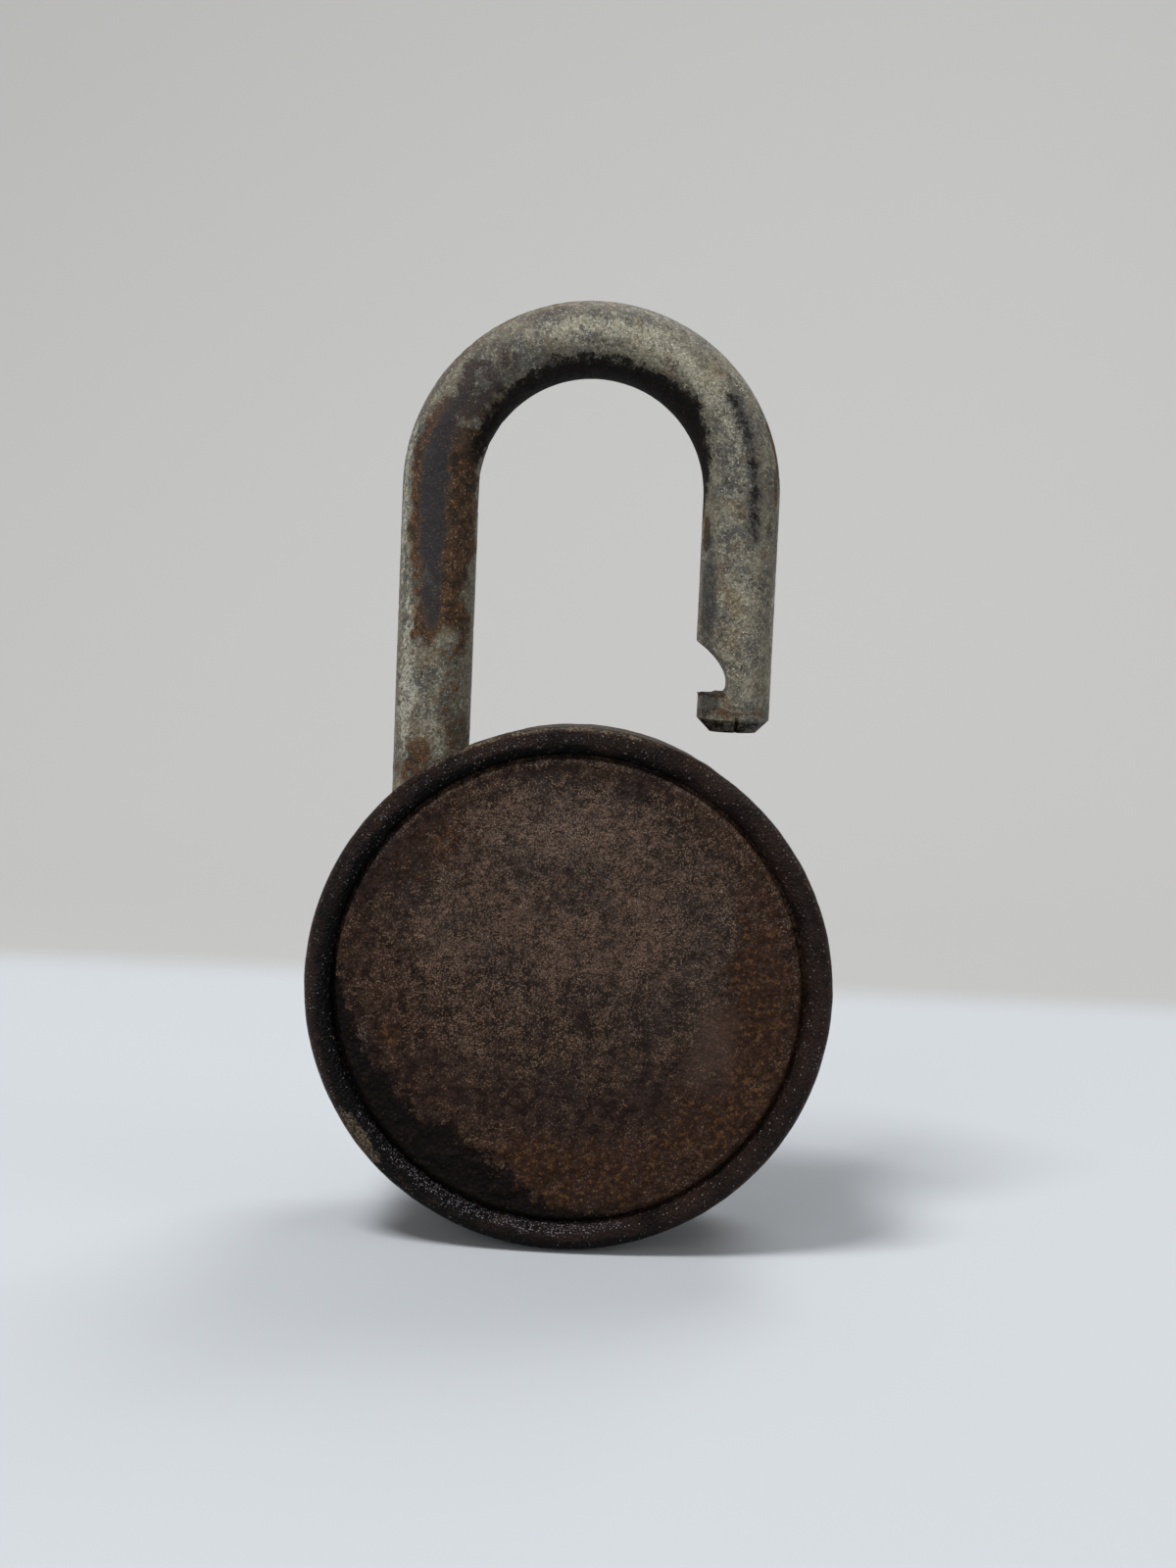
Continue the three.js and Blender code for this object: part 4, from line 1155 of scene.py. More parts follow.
        # Painted highlight: two arcs on the bead, low on its inner slope and at the top left on its outer
        # slope, where the light from above catches it.
        low_highlight_arc = Stain((254, 21.75), (34, 0.55), 1.1).field(angle, radius, coarse) * bead
        top_highlight_arc = Stain((118, 22.9), (45, 0.4), 0.45).field(angle, radius, coarse) * bead
        tan = [Stain((217, 23.3), (7, 0.9), 0.9), Stain((104, 23.7), (34, 0.2), 0.66, 0.6)]
        on_top = smooth((z - 16.5) / 7 + 0.35 * broad) * on_drum
        drum_rust = 0.42 * on_drum + 0.3 * scale * on_drum
        rim_rust = 0.42 * smooth((radius - 23.0) * 2) * bead
        marks = {
            "rust": np.clip(drum_rust + rim_rust + 0.12 * broad, 0, 1),
            "plum": np.maximum(low_highlight_arc, top_highlight_arc),
            "soot": bead * soot_and_shade,
            "tan": np.maximum(stained(tan, angle, radius, coarse) * bead, 0.6 * on_top),
        }
        return relief, marks

    def plate_profile(self) -> np.ndarray:
        """The plate's section, from the middle of its face round its flange to the middle of its inside.

        Returns:
            Rows of radius and Y.
        """
        flange_y = self.back_y + self.tube_r + self.flange_gap
        behind_y = flange_y + self.plate_sheet
        round_y = self.plate_y + self.plate_round
        inside_y = self.plate_y + self.plate_sheet
        inner_r = self.plate_r - self.plate_sheet
        face_r = self.plate_r - self.plate_round
        return np.concatenate([
            line((face_r / self.face_rows, self.plate_y), (face_r, self.plate_y), self.face_rows),
            arc((face_r, round_y), self.plate_round, -90, 0, self.round_rows),
            line((self.plate_r, round_y), (self.plate_r, flange_y), self.flange_rows),
            line((self.plate_r, flange_y), (self.flange_r, flange_y), 5),
            line((self.flange_r, flange_y), (self.flange_r, behind_y), 2),
            line((self.flange_r, behind_y), (inner_r, behind_y), 3),
            line((inner_r, behind_y), (inner_r, inside_y), 2),
            line((inner_r, inside_y), (0.5, inside_y), 8),
        ])

    def plate(self) -> Surface:
        """The pressed plate with its grains, pits, dent and stains.

        Returns:
            A closed surface with its marks: orange, soot, smooth and dust.
        """
        profile = self.plate_profile()
        points = revolve(profile, self.plate_columns, self.centre_z)
        x, z = points[..., 0], points[..., 2] - self.centre_z
        radius = np.hypot(x, z)
        angle = np.degrees(np.arctan2(z, x)) % 360
        coarse = noise(points, 1.5, 21, 3)
        fine = noise(points, 0.5, 23, 2)
        broad = noise(points, 8, 25, 2)
        pits = smooth((noise(points, 1.1, 27, 2) - 0.28) * 5)
        band = smooth((radius - 14.6) / 1.5) * smooth((20.2 - radius) / 0.8)
        smooth_spot = stained([Stain((13.0, -4.6), (2.4, 4.0), 0.85, 0.5)], x, z, coarse)
        relief = -self.plate_sunk + (0.028 * coarse + 0.022 * fine - 0.06 * pits) * (1 - 0.8 * smooth_spot)
        lumps = band * smooth(noise(points, 1.7, 29, 2) * 2.5)
        relief += 0.05 * broad * smooth((20 - radius) / 6) + 0.17 * lumps
        relief -= self.dent * stained([Stain((6.6, 17.0), (0.55, 0.8), 1.0, 0.3)], x, z, coarse)
        relief += 0.035 * smooth((radius - 20.1) / 0.3) * (1 + 0.5 * coarse)
        orange = [
            Stain((17.0, -3.5), (3.2, 12.0), 0.72, 0.7),
            Stain((15.6, 2.2), (1.6, 2.6), 0.95, 0.6),
            Stain((12.5, -12.0), (5.0, 4.0), 0.55, 0.8),
            Stain((3.5, -16.8), (9.5, 3.6), 0.6, 0.8),
            Stain((-3.0, -15.6), (4.5, 2.6), 0.64, 0.9),
            Stain((-15.8, -4.6), (0.9, 1.0), 0.9, 0.3),
            Stain((16.6, 8.5), (2.4, 5.0), 0.45, 0.8),
            Stain((-12.0, 11.5), (3.5, 3.0), 0.38, 0.9),
        ]
        soot_in = np.interp(angle, self.soot_deg, self.soot_from) + 0.7 * coarse
        swollen = stained(orange, x, z, coarse)
        relief += swollen * (0.09 * smooth(noise(points, 1.8, 31, 2) * 2.2) + 0.03 * coarse)
        rusty_edge = 0.62 * smooth((radius - 20.5) * 3) * smooth((x - 7) / 6)
        dusty = smooth((18 + 3 * smooth(z / 8) - radius + 3 * broad) / 8)
        dusty = dusty * smooth((z + 14) / 18 + 0.5 * broad)
        dusty_spots = [Stain((-18.6, -5.4), (0.7, 1.4), 1.2), Stain((-1, 15.5), (8, 3.6), 0.9)]
        dusty_edge = 0.7 * smooth((radius - 20.4) * 4) * smooth((z - 4) / 6) * (1 + coarse)
        marks = {
            "orange": np.maximum(swollen, rusty_edge) + 0.3 * lumps,
            "soot": np.clip(0.5 + (radius - soot_in) / 2.2, 0, 1),
            "smooth": smooth_spot,
            "dust": dusty + stained(dusty_spots, x, z, coarse) + dusty_edge,
        }
        on_face = np.arange(len(profile)) < self.face_rows + self.round_rows + self.flange_rows
        raised = np.where(on_face[:, None], relief, 0.0)
        points[..., 1] -= raised * np.where(radius < self.plate_r - 0.2, 1, 0.3)
        inside_y = self.plate_y + self.plate_sheet
        poles = ((0.0, self.plate_y + self.plate_sunk, self.centre_z), (0.0, inside_y, self.centre_z))
        return Surface(points, True, False, *poles, marks=marks)

    def make(self) -> None:
        """Builds and dresses the cup and the plate."""
        cup = place(self.skin().build("case_skin"), Body.CASE, Slot.CASE, ["outer_case"])
        dress(cup, BurntScale().make())
        plate = place(self.plate().build("back_plate_skin"), Body.CASE, Slot.PLATE, ["back_plate"])
        dress(plate, GranularRust().make())


@dataclass
class Shackle:
    """The bent rod, with its heel's groove, its toe's notch and its chamfered ends.

    Sizes are in millimetres. A point's place along the rod is its distance from the heel's end, and
    its place around is an angle: 0 faces the back, 90 the bow's outer side and -90 its inner side.
    """

    rod_r: float = 3.57
    leg_x: float = 13.89
    bow_z: float = -10.32
    heel_leg: float = 43.0
    toe_leg: float = 21.5
    chamfer: float = 1.2
    ledge: float = 3.5
    notch_depth: float = 3.06
    notch_straight: float = 0.75
    notch_height: float = 4.8
    ledge_fillet: float = 0.6
    toe_worn: float = 0.34
    slit_depth: float = 0.55
    crust_height: float = 0.22
    groove_depth: float = 0.95
    groove_from_end: float = 1.6
    groove_width: float = 2.0
    rows: int = 660
    columns: int = 128

    @property
    def length(self) -> float:
        """The rod's length along its middle."""
        return self.heel_leg + math.pi * self.leg_x + self.toe_leg

    def stations(self) -> np.ndarray:
        """Places for the grid's rows: even, with close pairs where the rod's size jumps.

        Returns:
            Distances from the heel's end, in order.
        """
        even = np.linspace(0, self.length, self.rows)
        tiny = 0.02
        groove = self.groove_from_end + np.array([0, tiny, self.groove_width - tiny, self.groove_width])
        ledge = self.length - self.ledge + np.array([-tiny, tiny])
        ends = np.array([self.chamfer, self.length - self.chamfer])
        return np.unique(np.concatenate([even, groove, ledge, ends]))

    def section_r(self, along: np.ndarray) -> np.ndarray:
        """The rod's radius: less by a straight slope at both ends, and less in the heel's groove.

        Args:
            along: distances from the heel's end.

        Returns:
            The radius at each.
        """
        from_end = np.minimum(along, self.length - along)
        radius = self.rod_r - np.clip(self.chamfer - from_end, 0, None)
        groove_end = self.groove_from_end + self.groove_width
        in_groove = (along > self.groove_from_end + 0.01) & (along < groove_end - 0.01)
        return np.where(in_groove, self.rod_r - self.groove_depth, radius)

    def centre_line(self, along: np.ndarray) -> tuple[np.ndarray, np.ndarray, np.ndarray, np.ndarray]:
        """The middle of the rod, and the direction to its outer side.

        Args:
            along: distances from the heel's end.

        Returns:
            X and Z of the middle, and X and Z of the outward direction: up the heel's leg, half round
            the bow, and down the toe's leg.
        """
        turn = np.clip((along - self.heel_leg) / self.leg_x, 0, math.pi)
        out_x, out_z = -np.cos(turn), np.sin(turn)
        heel_rest = np.clip(self.heel_leg - along, 0, None)
        toe_rest = np.clip(along - self.heel_leg - math.pi * self.leg_x, 0, None)
        x = self.leg_x * out_x
        z = self.bow_z + self.leg_x * out_z - heel_rest - toe_rest
        return x, z, out_x, out_z

    def notch_x(self, z: np.ndarray) -> np.ndarray:
        """How far in X the notch reaches at a height of the toe's leg.

        Straight above the ledge, then a curve of the second degree up to the leg's side.

        Args:
            z: the heights.

        Returns:
            The notch's X at each, and minus infinity above and below the notch.
        """
        edge = self.leg_x - self.rod_r
        ledge_z = self.bow_z - self.toe_leg + self.ledge
        back = edge + self.notch_depth
        rise = (z - ledge_z - self.notch_straight) / (self.notch_height - self.notch_straight)
        share = np.clip(rise, 0, 1)
        sweep = back - self.notch_depth * share**2
        foot = np.clip(1 - (z - ledge_z) / self.ledge_fillet, 0, 1)
        sweep = sweep - self.ledge_fillet * (1 - np.sqrt(np.clip(1 - foot**2, 0, 1)))
        inside = (z > ledge_z) & (rise < 1)
        return np.where(inside, sweep, -np.inf)

    def rod(self) -> Surface:
        """The rod's skin with its crusts, pits and stains.

        Returns:
            A closed surface with its marks: rust, bruise, grime (grime with painted shade), oxide (oxide with
                painted light), mauve and painted_highlight.
        """
        along = self.stations()
        around = np.linspace(-np.pi, np.pi, self.columns, endpoint=False)
        x, z, out_x, out_z = (value[:, None] for value in self.centre_line(along))
        s, a = np.meshgrid(along, np.degrees(around), indexing="ij")
        side, back = np.sin(around)[None], np.cos(around)[None]
        unit = np.stack([out_x * side, -np.broadcast_to(back, s.shape), out_z * side], axis=-1)
        zero = np.zeros(s.shape)
        middle = np.stack([zero + x, zero, zero + z], axis=-1)
        radius = self.section_r(along)[:, None]
        plain = middle + unit * radius[..., None]
        rough = noise(plain, 1.6, 41, 3)
        marks = self.stains(s, a, rough)
        relief = self.relief(plain, marks)
        points = middle + unit * (radius + relief)[..., None]
        by_ledge = self.cut_toe(points, plain, s, rough)
        marks["rust"] = np.maximum(marks["rust"], 0.72 * by_ledge * (1 + 0.3 * rough))
        low = self.bow_z - self.heel_leg
        toe_low = self.bow_z - self.toe_leg
        poles = ((-self.leg_x, 0.0, low), (self.leg_x, 0.0, toe_low))
        return Surface(points, True, False, *poles, marks=marks)

    def cut_toe(
        self, points: np.ndarray, plain: np.ndarray, s: np.ndarray, rough: np.ndarray
    ) -> np.ndarray:
        """Cuts the toe's notch, wears its lip, dents its tip, and crusts the ledge.

        Args:
            points: the rod's points, changed in place.
            plain: the points of the rod without its wear.
            s: place along the rod.
            rough: noise from -1 to 1.

        Returns:
            How near the ledge each point lies, 1 on it and 0 away from it.
        """
        reach = self.notch_x(points[..., 2]) + 0.06 * rough
        crumbs = smooth(noise(plain, 0.9, 53, 2) * 3)
        on_toe = (s > self.length - self.toe_leg) & (points[..., 0] < reach)
        points[..., 0] = np.where(on_toe, reach, points[..., 0])
        past_ledge = s - self.length + self.ledge
        worn = smooth((past_ledge + 0.1) / 0.2) * smooth((self.leg_x - 1.2 - points[..., 0]) / 1.5)
        points[..., 0] += self.toe_worn * worn * (1 + 0.3 * rough)
        slit = (np.abs(points[..., 0] - self.leg_x - 0.35) < 0.16) & (points[..., 1] < 0)
        slit = slit & (s > self.length - self.chamfer - 0.25)
        points[..., 1] += np.where(slit, self.slit_depth, 0.0)
        by_ledge = smooth(1.3 - np.abs(past_ledge) / 0.5) * smooth((13.5 - points[..., 0]) / 0.6)
        crust = crumbs * smooth(1.4 - np.abs(past_ledge - 0.2) / 0.25)
        points[..., 2] += self.crust_height * crust * smooth((13.3 - points[..., 0]) / 0.4)
        return by_ledge

    def stains(self, s: np.ndarray, a: np.ndarray, rough: np.ndarray) -> dict[str, np.ndarray]:
        """Where rust, the bruise, grime with painted shade, oxide with painted light, mauve stains and the
        painted highlight band lie.

        Args:
            s: place along the rod.
            a: place around it, in degrees.
            rough: noise from -1 to 1.

        Returns:
            The marks.
        """
        streak_at = np.interp(s, (77.7, 84.4, 89.9), (23.5, 17.0, 21.0)) + 1.2 * np.sin(s * 1.7)
        streak_on = smooth((s - 76) / 2.5) * smooth((93 - s) / 4)
        streak = streak_on * np.clip(0.95 - np.abs(a - streak_at) / 24 + 0.2 * rough, 0, 1)
        # Grime with painted shade: the bow's underside and inner side are darkened for grime and for the
        # shade that falls there.
        under_to = np.interp(s, (44, 49, 56, 63, 70, 76, 79, 86), (-30, -42, -34, -28, -28, -18, -34, -66))
        under = smooth((s - 42) / 9 + 0.25 * rough) * smooth((92 - s) / 7 + 0.25 * rough)
        under = under * np.clip(0.5 + (under_to - a) / 34, 0, 1) * smooth((a + 158) / 44 + 0.25 * rough)
        rust = [
            Stain((41, -30), (13.0, 50), 0.95, 0.7),
            Stain((42, 20), (12.0, 28), 0.88, 0.7),
            Stain((30.5, 8), (2.6, 28), 0.9, 0.8),
            Stain((52, 5), (6, 36), 0.56, 1.0),
            Stain((17.2, 8), (2.2, 34), 0.56, 1.5),
            Stain((17.8, 24), (1.0, 12), 0.75, 1.2),
            Stain((21.0, -44), (3.2, 20), 0.52, 1.5),
            Stain((26, -34), (5, 18), 0.46, 1.0),
            Stain((83.3, 73), (2.0, 9), 0.9, 0.6),
            Stain((86.0, 60), (1.5, 8), 0.6, 0.8),
            Stain((90.0, -62), (2.2, 12), 0.78, 0.7),
            Stain((106.4, 0), (0.5, 100), 0.55, 0.9),
            Stain((58, 75), (7, 12), 0.5, 0.9),
            Stain((44, 165), (16, 60), 0.6, 1.0),
            Stain((12, 170), (9, 80), 0.6, 1.0),
            Stain((80, 150), (14, 40), 0.5, 1.0),
            Stain((100, 170), (6, 50), 0.55, 1.0),
        ]
        bruise = [
            Stain((41.5, 6), (10.5, 20), 0.9, 0.4),
            Stain((33.5, 0), (4, 11), 0.7, 0.6),
            Stain((54, 6), (7, 40), 0.56, 0.6),
            Stain((96, -50), (7.5, 18), 0.6, 0.8),
            Stain((105.4, -50), (1.4, 26), 0.62, 0.7),
        ]
        # Oxide with painted light: the pale stains, chiefly on the heel leg, are partly the light falling
        # there.
        oxide = [
            Stain((41, 62), (7, 12), 0.62, 0.6),
            Stain((26, 40), (9, 18), 0.66, 0.8),
            Stain((15, -20), (6, 22), 0.5, 0.9),
            Stain((98, 72), (5, 8), 0.5, 0.9),
        ]
        # Painted highlight: a pale band along the top of the bow and on the toe leg, where the light from
        # above falls.
        painted_highlight = [
            Stain((66, 14), (10, 18), 1.0, 0.7),
            Stain((79, 2), (6, 12), 0.8, 0.8),
            Stain((98, 12), (7, 20), 0.4, 0.9),
            Stain((57, 20), (4, 16), 0.5, 0.9),
        ]
        marks = {
            "rust": stained(rust, s, a, rough),
            "bruise": np.maximum(stained(bruise, s, a, rough), 0.8 * streak),
            "grime": np.maximum(under, 0.54 * streak),
            "oxide": stained(oxide, s, a, rough),
            "painted_highlight": stained(painted_highlight, s, a, rough),
            "mauve": stained([Stain((61, 50), (2.2, 12), 1.0), Stain((52, 62), (5, 12), 0.7)], s, a, rough),
        }
        head = smooth((s - self.length + self.chamfer + 0.1) / 0.3)
        marks["grime"] = np.maximum(marks["grime"], 0.55 * head)
        return marks

    def relief(self, points: np.ndarray, marks: dict[str, np.ndarray]) -> np.ndarray:
        """How far the skin stands out: rust swells and flakes, and pits go in.

        Args:
            points: the plain rod's points.
            marks: where its stains lie.

        Returns:
            The relief in millimetres.
        """
        coarse = noise(points, 1.3, 43, 2)
        fine = noise(points, 0.5, 45, 2)
        broad = noise(points, 5, 47, 2)
        pits = smooth((noise(points, 0.9, 49, 2) - 0.3) * 5)
        rust = marks["rust"]
        swell = rust * (0.06 * coarse + 0.05 * smooth(noise(points, 0.8, 51, 2) * 3))
        return -0.05 + 0.012 * broad + 0.010 * coarse + 0.012 * fine - 0.035 * pits + swell

    def make(self) -> None:
        """Builds and dresses the rod."""
        rod = place(self.rod().build("shackle_rod"), Body.SHACKLE, Slot.SHACKLE, ["shackle"])
        dress(rod, OldZinc().make())


@dataclass
class Dial:
    """The numbered disc and its fluted knob, in millimetres.

    Each pair for the ticks is for a numbered one and then for one between the numbers. skin_sunk is
    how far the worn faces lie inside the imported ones.
    """

    centre_z: float
    back_y: float = 11.3
    radius: float = 17.2
    edge: float = 0.8
    bevel_r: float = 14.6
    thick: float = 2.0
    bore_r: float = 2.05
    knob_y: float = 13.6
    knob_r: float = 9.6
    knob_top_r: float = 8.7
    knob_height: float = 8.0
    knob_round: float = 1.0
    collar_r: float = 10.4
    collar: float = 1.0
    flutes: int = 24
    flute_depth: float = 0.45
    flute_columns: int = 24
    cap: float = 1.4
    marks_round: int = 40
    numbered: int = 5
    tick_half: tuple[float, float] = (0.17, 0.11)
    tick_inner: tuple[float, float] = (14.75, 15.5)
    tick_outer: float = 16.75
    tick_raise: float = 0.04
    tick_depth: float = 0.12
    number_r: float = 12.7
    number_size: float = 2.7
    number_raise: float = 0.05
    number_lift: float = 0.01
    corner_r: float = 0.15
    knob_dish: float = 0.3
    skin_sunk: float = 0.02
    columns: int = 480

    @property
    def face_y(self) -> float:
        """The flat face that the numbers stand on."""
        return self.back_y + self.thick

    def bevel_y(self, radius: np.ndarray) -> np.ndarray:
        """The height of the disc's front at a radius: flat, then straight down to the edge."""
        share = np.clip((radius - self.bevel_r) / (self.radius - self.bevel_r), 0, 1)
        return self.face_y - share * (self.thick - self.edge)

    def disc(self) -> Surface:
        """The disc, chipped and worn along its edges.

        Returns:
            A closed surface with its mark: wear.
        """
        front, small = self.face_y, self.corner_r
        side_r, edge_y = self.radius - small, self.back_y + self.edge
        profile = np.concatenate([
            line((self.bore_r, self.back_y), (side_r, self.back_y), 10),
            arc((side_r, self.back_y + small), small, -90, 0, 3),
            line((self.radius, self.back_y + small), (self.radius, edge_y - small), 3),
            line((self.radius, edge_y - 0.1), (self.radius - 0.2, edge_y + 0.1), 3),
            line((self.radius - 0.2, edge_y + 0.1), (self.bevel_r, front), 14),
            line((self.bevel_r, front), (self.collar_r, front), 20),
            line((self.collar_r, front), (self.bore_r, front), 8),
            line((self.bore_r, front), (self.bore_r, self.back_y), 3),
        ])
        points = revolve(profile, self.columns, self.centre_z)
        radius = np.hypot(points[..., 0], points[..., 2] - self.centre_z)
        rough = noise(points, 1.5, 61, 3)
        near_bevel = smooth(1 - np.abs(radius - self.bevel_r) / 0.5) * (points[..., 1] > front - 0.4)
        near_edge = smooth((radius - self.radius + 0.7) / 0.5)
        wear = np.clip(0.55 * near_bevel + 0.62 * near_edge + 0.3 * rough, 0, 1)
        normals = outward(points, True, True)
        away = points - np.array([0, (front + self.back_y) / 2, self.centre_z])
        normals = normals * np.sign(np.sum(normals * away, axis=-1, keepdims=True))
        on_front = (points[..., 1] > self.back_y + 0.2) & (radius > self.collar_r)
        relief = np.where(on_front, -self.skin_sunk + 0.012 * rough - 0.03 * (wear > 0.7), 0.0)
        return Surface(points + normals * relief[..., None], True, True, marks={"wear": wear})

    def knob(self) -> Surface:
        """The knob: a plain collar under a grip whose radius falls between its ridges.

        Returns:
            A closed surface: the radius is the profile's, less flute_depth where the ridges' cosine is 0.
        """
        top = self.knob_y + self.knob_height
        round_y = top - self.knob_round
        collar_y = self.knob_y + self.collar
        slope = (self.knob_r - self.knob_top_r) / (self.knob_height - self.knob_round)
        foot_r = self.knob_r - slope * self.collar
        small = self.corner_r
        flat_r = self.collar_r - small
        profile = np.concatenate([
            line((self.bore_r, top - self.cap), (self.bore_r, self.knob_y), 4),
            line((self.bore_r, self.knob_y), (flat_r, self.knob_y), 5),
            line((flat_r, self.knob_y), (self.collar_r, self.knob_y + small), 2),
            line((self.collar_r, self.knob_y + small), (self.collar_r, collar_y - small), 3),
            line((self.collar_r, collar_y - small), (flat_r, collar_y), 2),
            line((flat_r, collar_y), (foot_r, collar_y), 3),
            line((foot_r, collar_y), (self.knob_top_r, round_y), 22),
            arc((self.knob_top_r - self.knob_round, round_y), self.knob_round, 0, 90, 10),
            line((self.knob_top_r - self.knob_round, top), (0.2, top), 26),
        ])
        columns = self.flutes * self.flute_columns
        points = revolve(profile, columns, self.centre_z)
        angle = np.linspace(0, 2 * np.pi, columns, endpoint=False)
        ridge = np.abs(np.cos(self.flutes / 2 * angle))
        on_grip = (profile[:, 1] > collar_y - 0.01) & (profile[:, 0] > self.bore_r + 1)
        share = 1 - self.flute_depth / self.knob_r * (1 - ridge)[None] * on_grip[:, None]
        points[..., 0] *= share
        points[..., 2] = (points[..., 2] - self.centre_z) * share + self.centre_z
        radius = np.hypot(points[..., 0], points[..., 2] - self.centre_z)
        dish = smooth((self.knob_top_r - 2.2 - radius) / 0.8) * (points[..., 1] > top - 0.01)
        rough = noise(points, 1.3, 71, 3)
        sunk = np.where(points[..., 1] > top - 0.01, self.skin_sunk + 0.012 * rough, 0)
        points[..., 1] -= self.knob_dish * dish + sunk
        rim = smooth((points[..., 1] - round_y) / 0.8) * smooth((radius - self.knob_top_r + 2) / 1)
        wear = np.clip(0.42 * ridge[None] * on_grip[:, None] + 0.35 * rim + 0.3 * rough, 0, 1)
        dished_y = top - self.knob_dish - self.skin_sunk
        poles = ((0.0, top - self.cap, self.centre_z), (0.0, dished_y, self.centre_z))
        return Surface(points, True, False, *poles, marks={"wear": wear})

    def ticks(self) -> bpy.types.Object:
        """The graduations on the bevel: one box each, long and wide at every fifth.

        Returns:
            One object. Each box spans an angle and a radius, and stands a little over the bevel.
        """
        index = np.arange(self.marks_round)
        long = index % self.numbered == 0
        half = np.where(long, *self.tick_half)
        inner = np.where(long, *self.tick_inner)
        angle = 2 * np.pi * index / self.marks_round
        corners = np.array(list(np.ndindex(2, 2, 2)))
        r = np.where(corners[:, 0], self.tick_outer, inner[:, None])
        side = np.where(corners[:, 1], 1, -1) * half[:, None]
        lift = np.where(corners[:, 2], self.tick_raise, -self.tick_depth)
        y = self.bevel_y(r) + lift
        x = r * np.sin(angle)[:, None] + side * np.cos(angle)[:, None]
        z = r * np.cos(angle)[:, None] - side * np.sin(angle)[:, None] + self.centre_z
        box = np.array([[0, 1, 3, 2], [4, 6, 7, 5], [0, 4, 5, 1], [2, 3, 7, 6], [0, 2, 6, 4], [1, 5, 7, 3]])
        faces = (box[None] + 8 * index[:, None, None]).reshape(-1, 4)
        mesh = bpy.data.meshes.new("dial_marks")
        mesh.from_pydata((np.stack([x, y, z], axis=-1).reshape(-1, 3) * MM).tolist(), [], faces.tolist())
        return finished(mesh, "dial_marks")

    def numbers(self) -> bpy.types.Object:
        """The numbers at every fifth mark, upright when their mark is at the top.

        Returns:
            One object with all the numbers, read from the dial's side.
        """
        work = bmesh.new()
        upright = Matrix(((-1, 0, 0), (0, 0, 1), (0, 1, 0))).to_4x4()
        lift = Matrix.Translation((0, (self.face_y + self.number_lift) * MM, self.number_r * MM))
        for value in range(0, self.marks_round, self.numbered):
            text = bpy.data.curves.new("number", "FONT")
            text.body = str(value)
            text.size = self.number_size * MM
            text.extrude = self.number_raise * MM
            text.offset = self.number_raise * MM
            text.align_x = "CENTER"
            text.align_y = "CENTER"
            text.resolution_u = 6
            shown = bpy.data.objects.new("number", text)
            bpy.context.scene.collection.objects.link(shown)
            graph = bpy.context.evaluated_depsgraph_get()
            mesh = bpy.data.meshes.new_from_object(shown.evaluated_get(graph))
            spin = Matrix.Rotation(-2 * math.pi * value / self.marks_round, 4, "Y")
            mesh.transform(Matrix.Translation((0, 0, self.centre_z * MM)) @ spin @ lift @ upright)
            work.from_mesh(mesh)
            bpy.data.objects.remove(shown)
        bmesh.ops.remove_doubles(work, verts=work.verts, dist=MERGE_REACH)
        joined = bpy.data.meshes.new("dial_numbers")
        work.to_mesh(joined)
        work.free()
        return finished(joined, "dial_numbers")

    def make(self) -> None:
        """Builds and dresses the disc, its marks and numbers, and the knob."""
        paint, white = WornPaint().make(), FadedWhite().make()
        dress(place(self.disc().build("dial_disc"), Body.DIAL, Slot.DIAL, ["dial_plate"]), paint)
        dress(place(self.knob().build("fluted_knob"), Body.DIAL, Slot.DIAL, ["dial_knob"]), paint)
        dress(place(self.ticks(), Body.DIAL, Slot.DIAL), white)
        dress(place(self.numbers(), Body.DIAL, Slot.DIAL), white)


@dataclass
class Works:
    """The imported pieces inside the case, which keep their shapes and get their finishes."""

    nodes: dict[str, bpy.types.Object]
    record: dict

    @staticmethod
    def finishes() -> dict[str, bpy.types.Material]:
        """A finish for each slot of the inside.

        Returns:
            The materials by the slots' names.
        """
        steel = Tarnish(
            name="tarnished_steel",
            bright=(0.16, 0.14, 0.12),
            dull=(0.060, 0.044, 0.034),
            spots=(0.088, 0.036, 0.014),
            metal=0.55,
            rusting=0.9,
        )
        brass = Tarnish(
            name="tarnished_brass",
            bright=(0.36, 0.25, 0.10),
            dull=(0.115, 0.080, 0.038),
            spots=(0.05, 0.075, 0.055),
            metal=0.75,
            rusting=0.4,
        )
        wire = Tarnish(
            name="spring_wire",
            bright=(0.12, 0.115, 0.11),
            dull=(0.045, 0.040, 0.037),
            spots=(0.080, 0.035, 0.014),
            metal=0.7,
            rusting=0.5,
        )
        made = {Slot.INNER: steel, Slot.BRASS: brass, Slot.SPRING: wire}
        return {slot.value: finish.make() for slot, finish in made.items()}

    def make(self) -> None:
        """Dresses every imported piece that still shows."""
        finishes = self.finishes()
        slots = {part["node"]: part["material_slot"] for part in self.record["subparts"]}
        for name, node in self.nodes.items():
            if not node.hide_render:
                dress(node, finishes[slots[name]])
                log.info("%s: kept, dressed as %s", name, slots[name])


@dataclass(frozen=True)
class Lamp:
    """A square soft light.

    Fields:
        name: its name.
        at: its place, in metres.
        size: its side, in metres.
        watts: its power.
    """

    name: str
    at: tuple[float, float, float]
    size: float
    watts: float

    def make(self, target: Sequence[float]) -> None:
        """Puts the light in the scene, unseen by the camera.

        Args:
            target: the place that it points at.
        """
        light = bpy.data.lights.new(self.name, "AREA")
        light.size = self.size
        light.energy = self.watts
        holder = bpy.data.objects.new(self.name, light)
        holder.visible_camera = False
        holder.location = self.at
        holder.rotation_euler = (Vector(target) - Vector(self.at)).to_track_quat("-Z", "Y").to_euler()
        bpy.context.scene.collection.objects.link(holder)


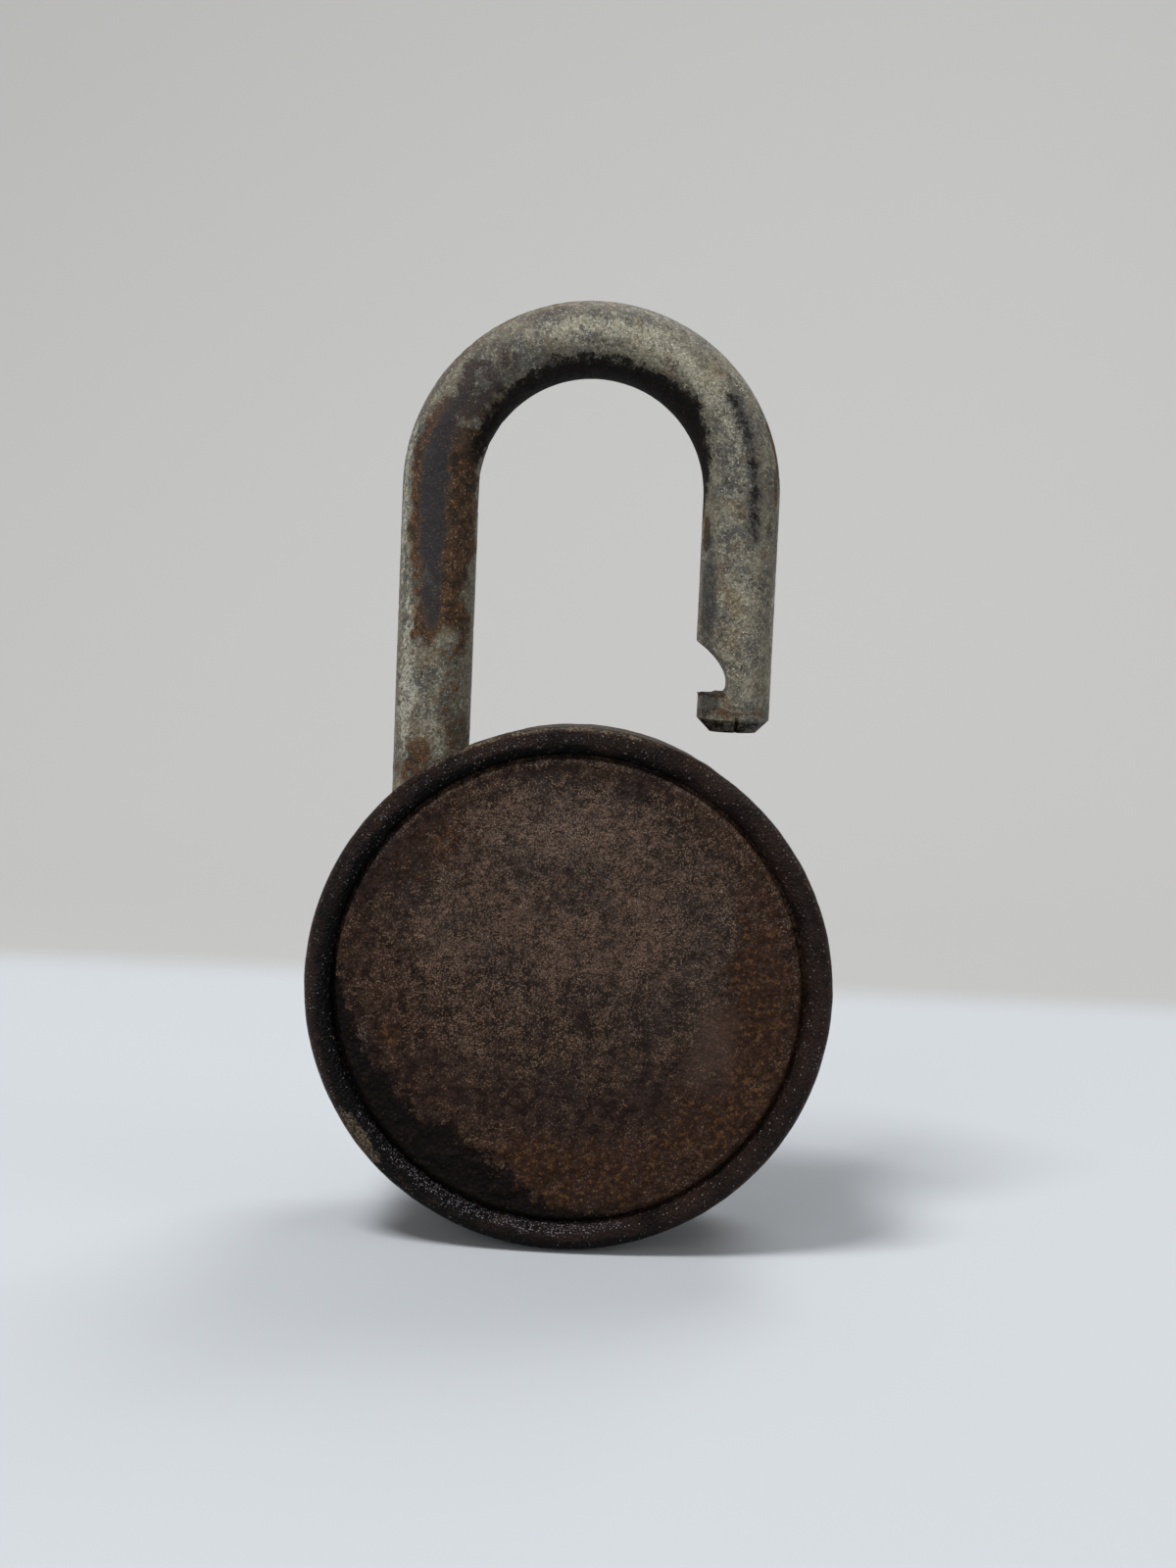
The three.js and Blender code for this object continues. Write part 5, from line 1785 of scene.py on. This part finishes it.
@dataclass
class Studio:
    """The pale floor, the lights and the camera, in metres."""

    floor_z: float
    eye: tuple[float, float, float] = (0.0043, -0.2007, -0.0196)
    ahead: tuple[float, float, float] = (-0.017, 0.996, -0.088)
    down: tuple[float, float, float] = (0.0444, -0.0872, -0.9952)
    lens: float = 49.5
    sensor_width: float = 36.0
    clip_start: float = 0.01
    floor_reach: float = 1.0
    wall_y: float = 0.5
    wall_height: float = 1.5
    bend_r: float = 0.3
    flat_rows: int = 40
    bend_rows: int = 23
    floor_columns: int = 9
    aim: tuple[float, float, float] = (0.0, 0.0, -0.04)
    lamps: tuple[Lamp, ...] = (
        Lamp("soft_above", (-0.30, -0.34, 0.84), 0.26, 9.0),
        Lamp("soft_front", (-0.50, -1.0, 0.35), 0.6, 2.6),
        Lamp("soft_side", (0.9, -0.35, 0.25), 0.5, 1.5),
        Lamp("soft_behind", (0.20, 0.36, 0.55), 0.3, 2.2),
    )
    sky: Colour = (1.0, 0.99, 0.97)
    sky_strength: float = 0.24
    backdrop: Colour = (0.56, 0.565, 0.555)

    def floor(self) -> bpy.types.Object:
        """The floor and its backdrop: flat, then a quarter circle, then straight up.

        Returns:
            The floor's object, marked as stage.
        """
        bend_y = self.wall_y - self.bend_r
        along = np.linspace(-self.floor_reach, bend_y, self.flat_rows)
        flat = np.stack([along, np.zeros(self.flat_rows)], axis=-1)
        turn = np.radians(90 * np.arange(1, self.bend_rows + 1) / self.bend_rows)
        bend = np.stack([np.sin(turn), 1 - np.cos(turn)], axis=-1) * self.bend_r + [bend_y, 0]
        wall = np.array([[self.wall_y, self.bend_r + self.wall_height]])
        section = np.concatenate([flat, bend, wall])
        across = np.linspace(-self.floor_reach, self.floor_reach, self.floor_columns)
        zero = np.zeros((len(section), len(across)))
        height = section[:, 1:] + self.floor_z
        points = np.stack([zero + across, zero + section[:, :1], zero + height], axis=-1)
        paper = Surface(points / MM, around=False).build("studio_floor")
        dress(paper, StudioPaper().make())
        paper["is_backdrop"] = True
        return paper

    def world(self) -> None:
        """An even pale light from all round, and a pale backdrop for camera, glossy and transmitted rays."""
        world = bpy.data.worlds.new("studio_world")
        world.use_nodes = True
        nodes, links = world.node_tree.nodes, world.node_tree.links
        light, seen = nodes["Background"], nodes.new("ShaderNodeBackground")
        light.inputs["Color"].default_value = (*self.sky, 1.0)
        light.inputs["Strength"].default_value = self.sky_strength
        seen.inputs["Color"].default_value = (*self.backdrop, 1.0)
        rays = nodes.new("ShaderNodeLightPath")
        either, any_of = nodes.new("ShaderNodeMath"), nodes.new("ShaderNodeMath")
        either.operation = any_of.operation = "MAXIMUM"
        links.new(rays.outputs["Is Camera Ray"], either.inputs[0])
        links.new(rays.outputs["Is Glossy Ray"], either.inputs[1])
        links.new(either.outputs[0], any_of.inputs[0])
        links.new(rays.outputs["Is Transmission Ray"], any_of.inputs[1])
        choice = nodes.new("ShaderNodeMixShader")
        links.new(any_of.outputs[0], choice.inputs[0])
        links.new(light.outputs[0], choice.inputs[1])
        links.new(seen.outputs[0], choice.inputs[2])
        links.new(choice.outputs[0], nodes["World Output"].inputs["Surface"])
        bpy.context.scene.world = world

    def camera(self) -> None:
        """The camera where the photograph was taken from, with the photograph's slight roll."""
        ahead, down = Vector(self.ahead).normalized(), Vector(self.down).normalized()
        right = down.cross(ahead).normalized()
        up = right.cross(ahead).normalized()
        data = bpy.data.cameras.new("photo_camera")
        data.lens = self.lens
        data.sensor_width = self.sensor_width
        data.sensor_fit = "AUTO"
        data.clip_start = self.clip_start
        camera = bpy.data.objects.new("photo_camera", data)
        turn = Matrix((right, up, -ahead)).transposed()
        camera.matrix_world = Matrix.Translation(self.eye) @ turn.to_4x4()
        bpy.context.scene.collection.objects.link(camera)
        bpy.context.scene.camera = camera

    def make(self) -> None:
        """Sets up the floor, the lights and the camera."""
        bpy.context.scene.view_settings.view_transform = "Standard"
        self.floor()
        self.world()
        for lamp in self.lamps:
            lamp.make(self.aim)
        self.camera()


def main() -> None:
    """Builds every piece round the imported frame, in order."""
    logging.basicConfig(level=logging.INFO, format="%(message)s")
    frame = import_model()
    cad_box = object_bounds()
    dial_joint = next(joint for joint in frame["joints"] if joint["name"] == "dial_spin")
    centre_z = dial_joint["pos_m"][2] / MM
    Case(centre_z).make()
    Shackle().make()
    Dial(centre_z).make()
    Works(frame["nodes"], frame["record"]).make()
    Studio(floor_z=cad_box[0].z - FLOOR_GAP).make()


if __name__ == "__main__":
    main()
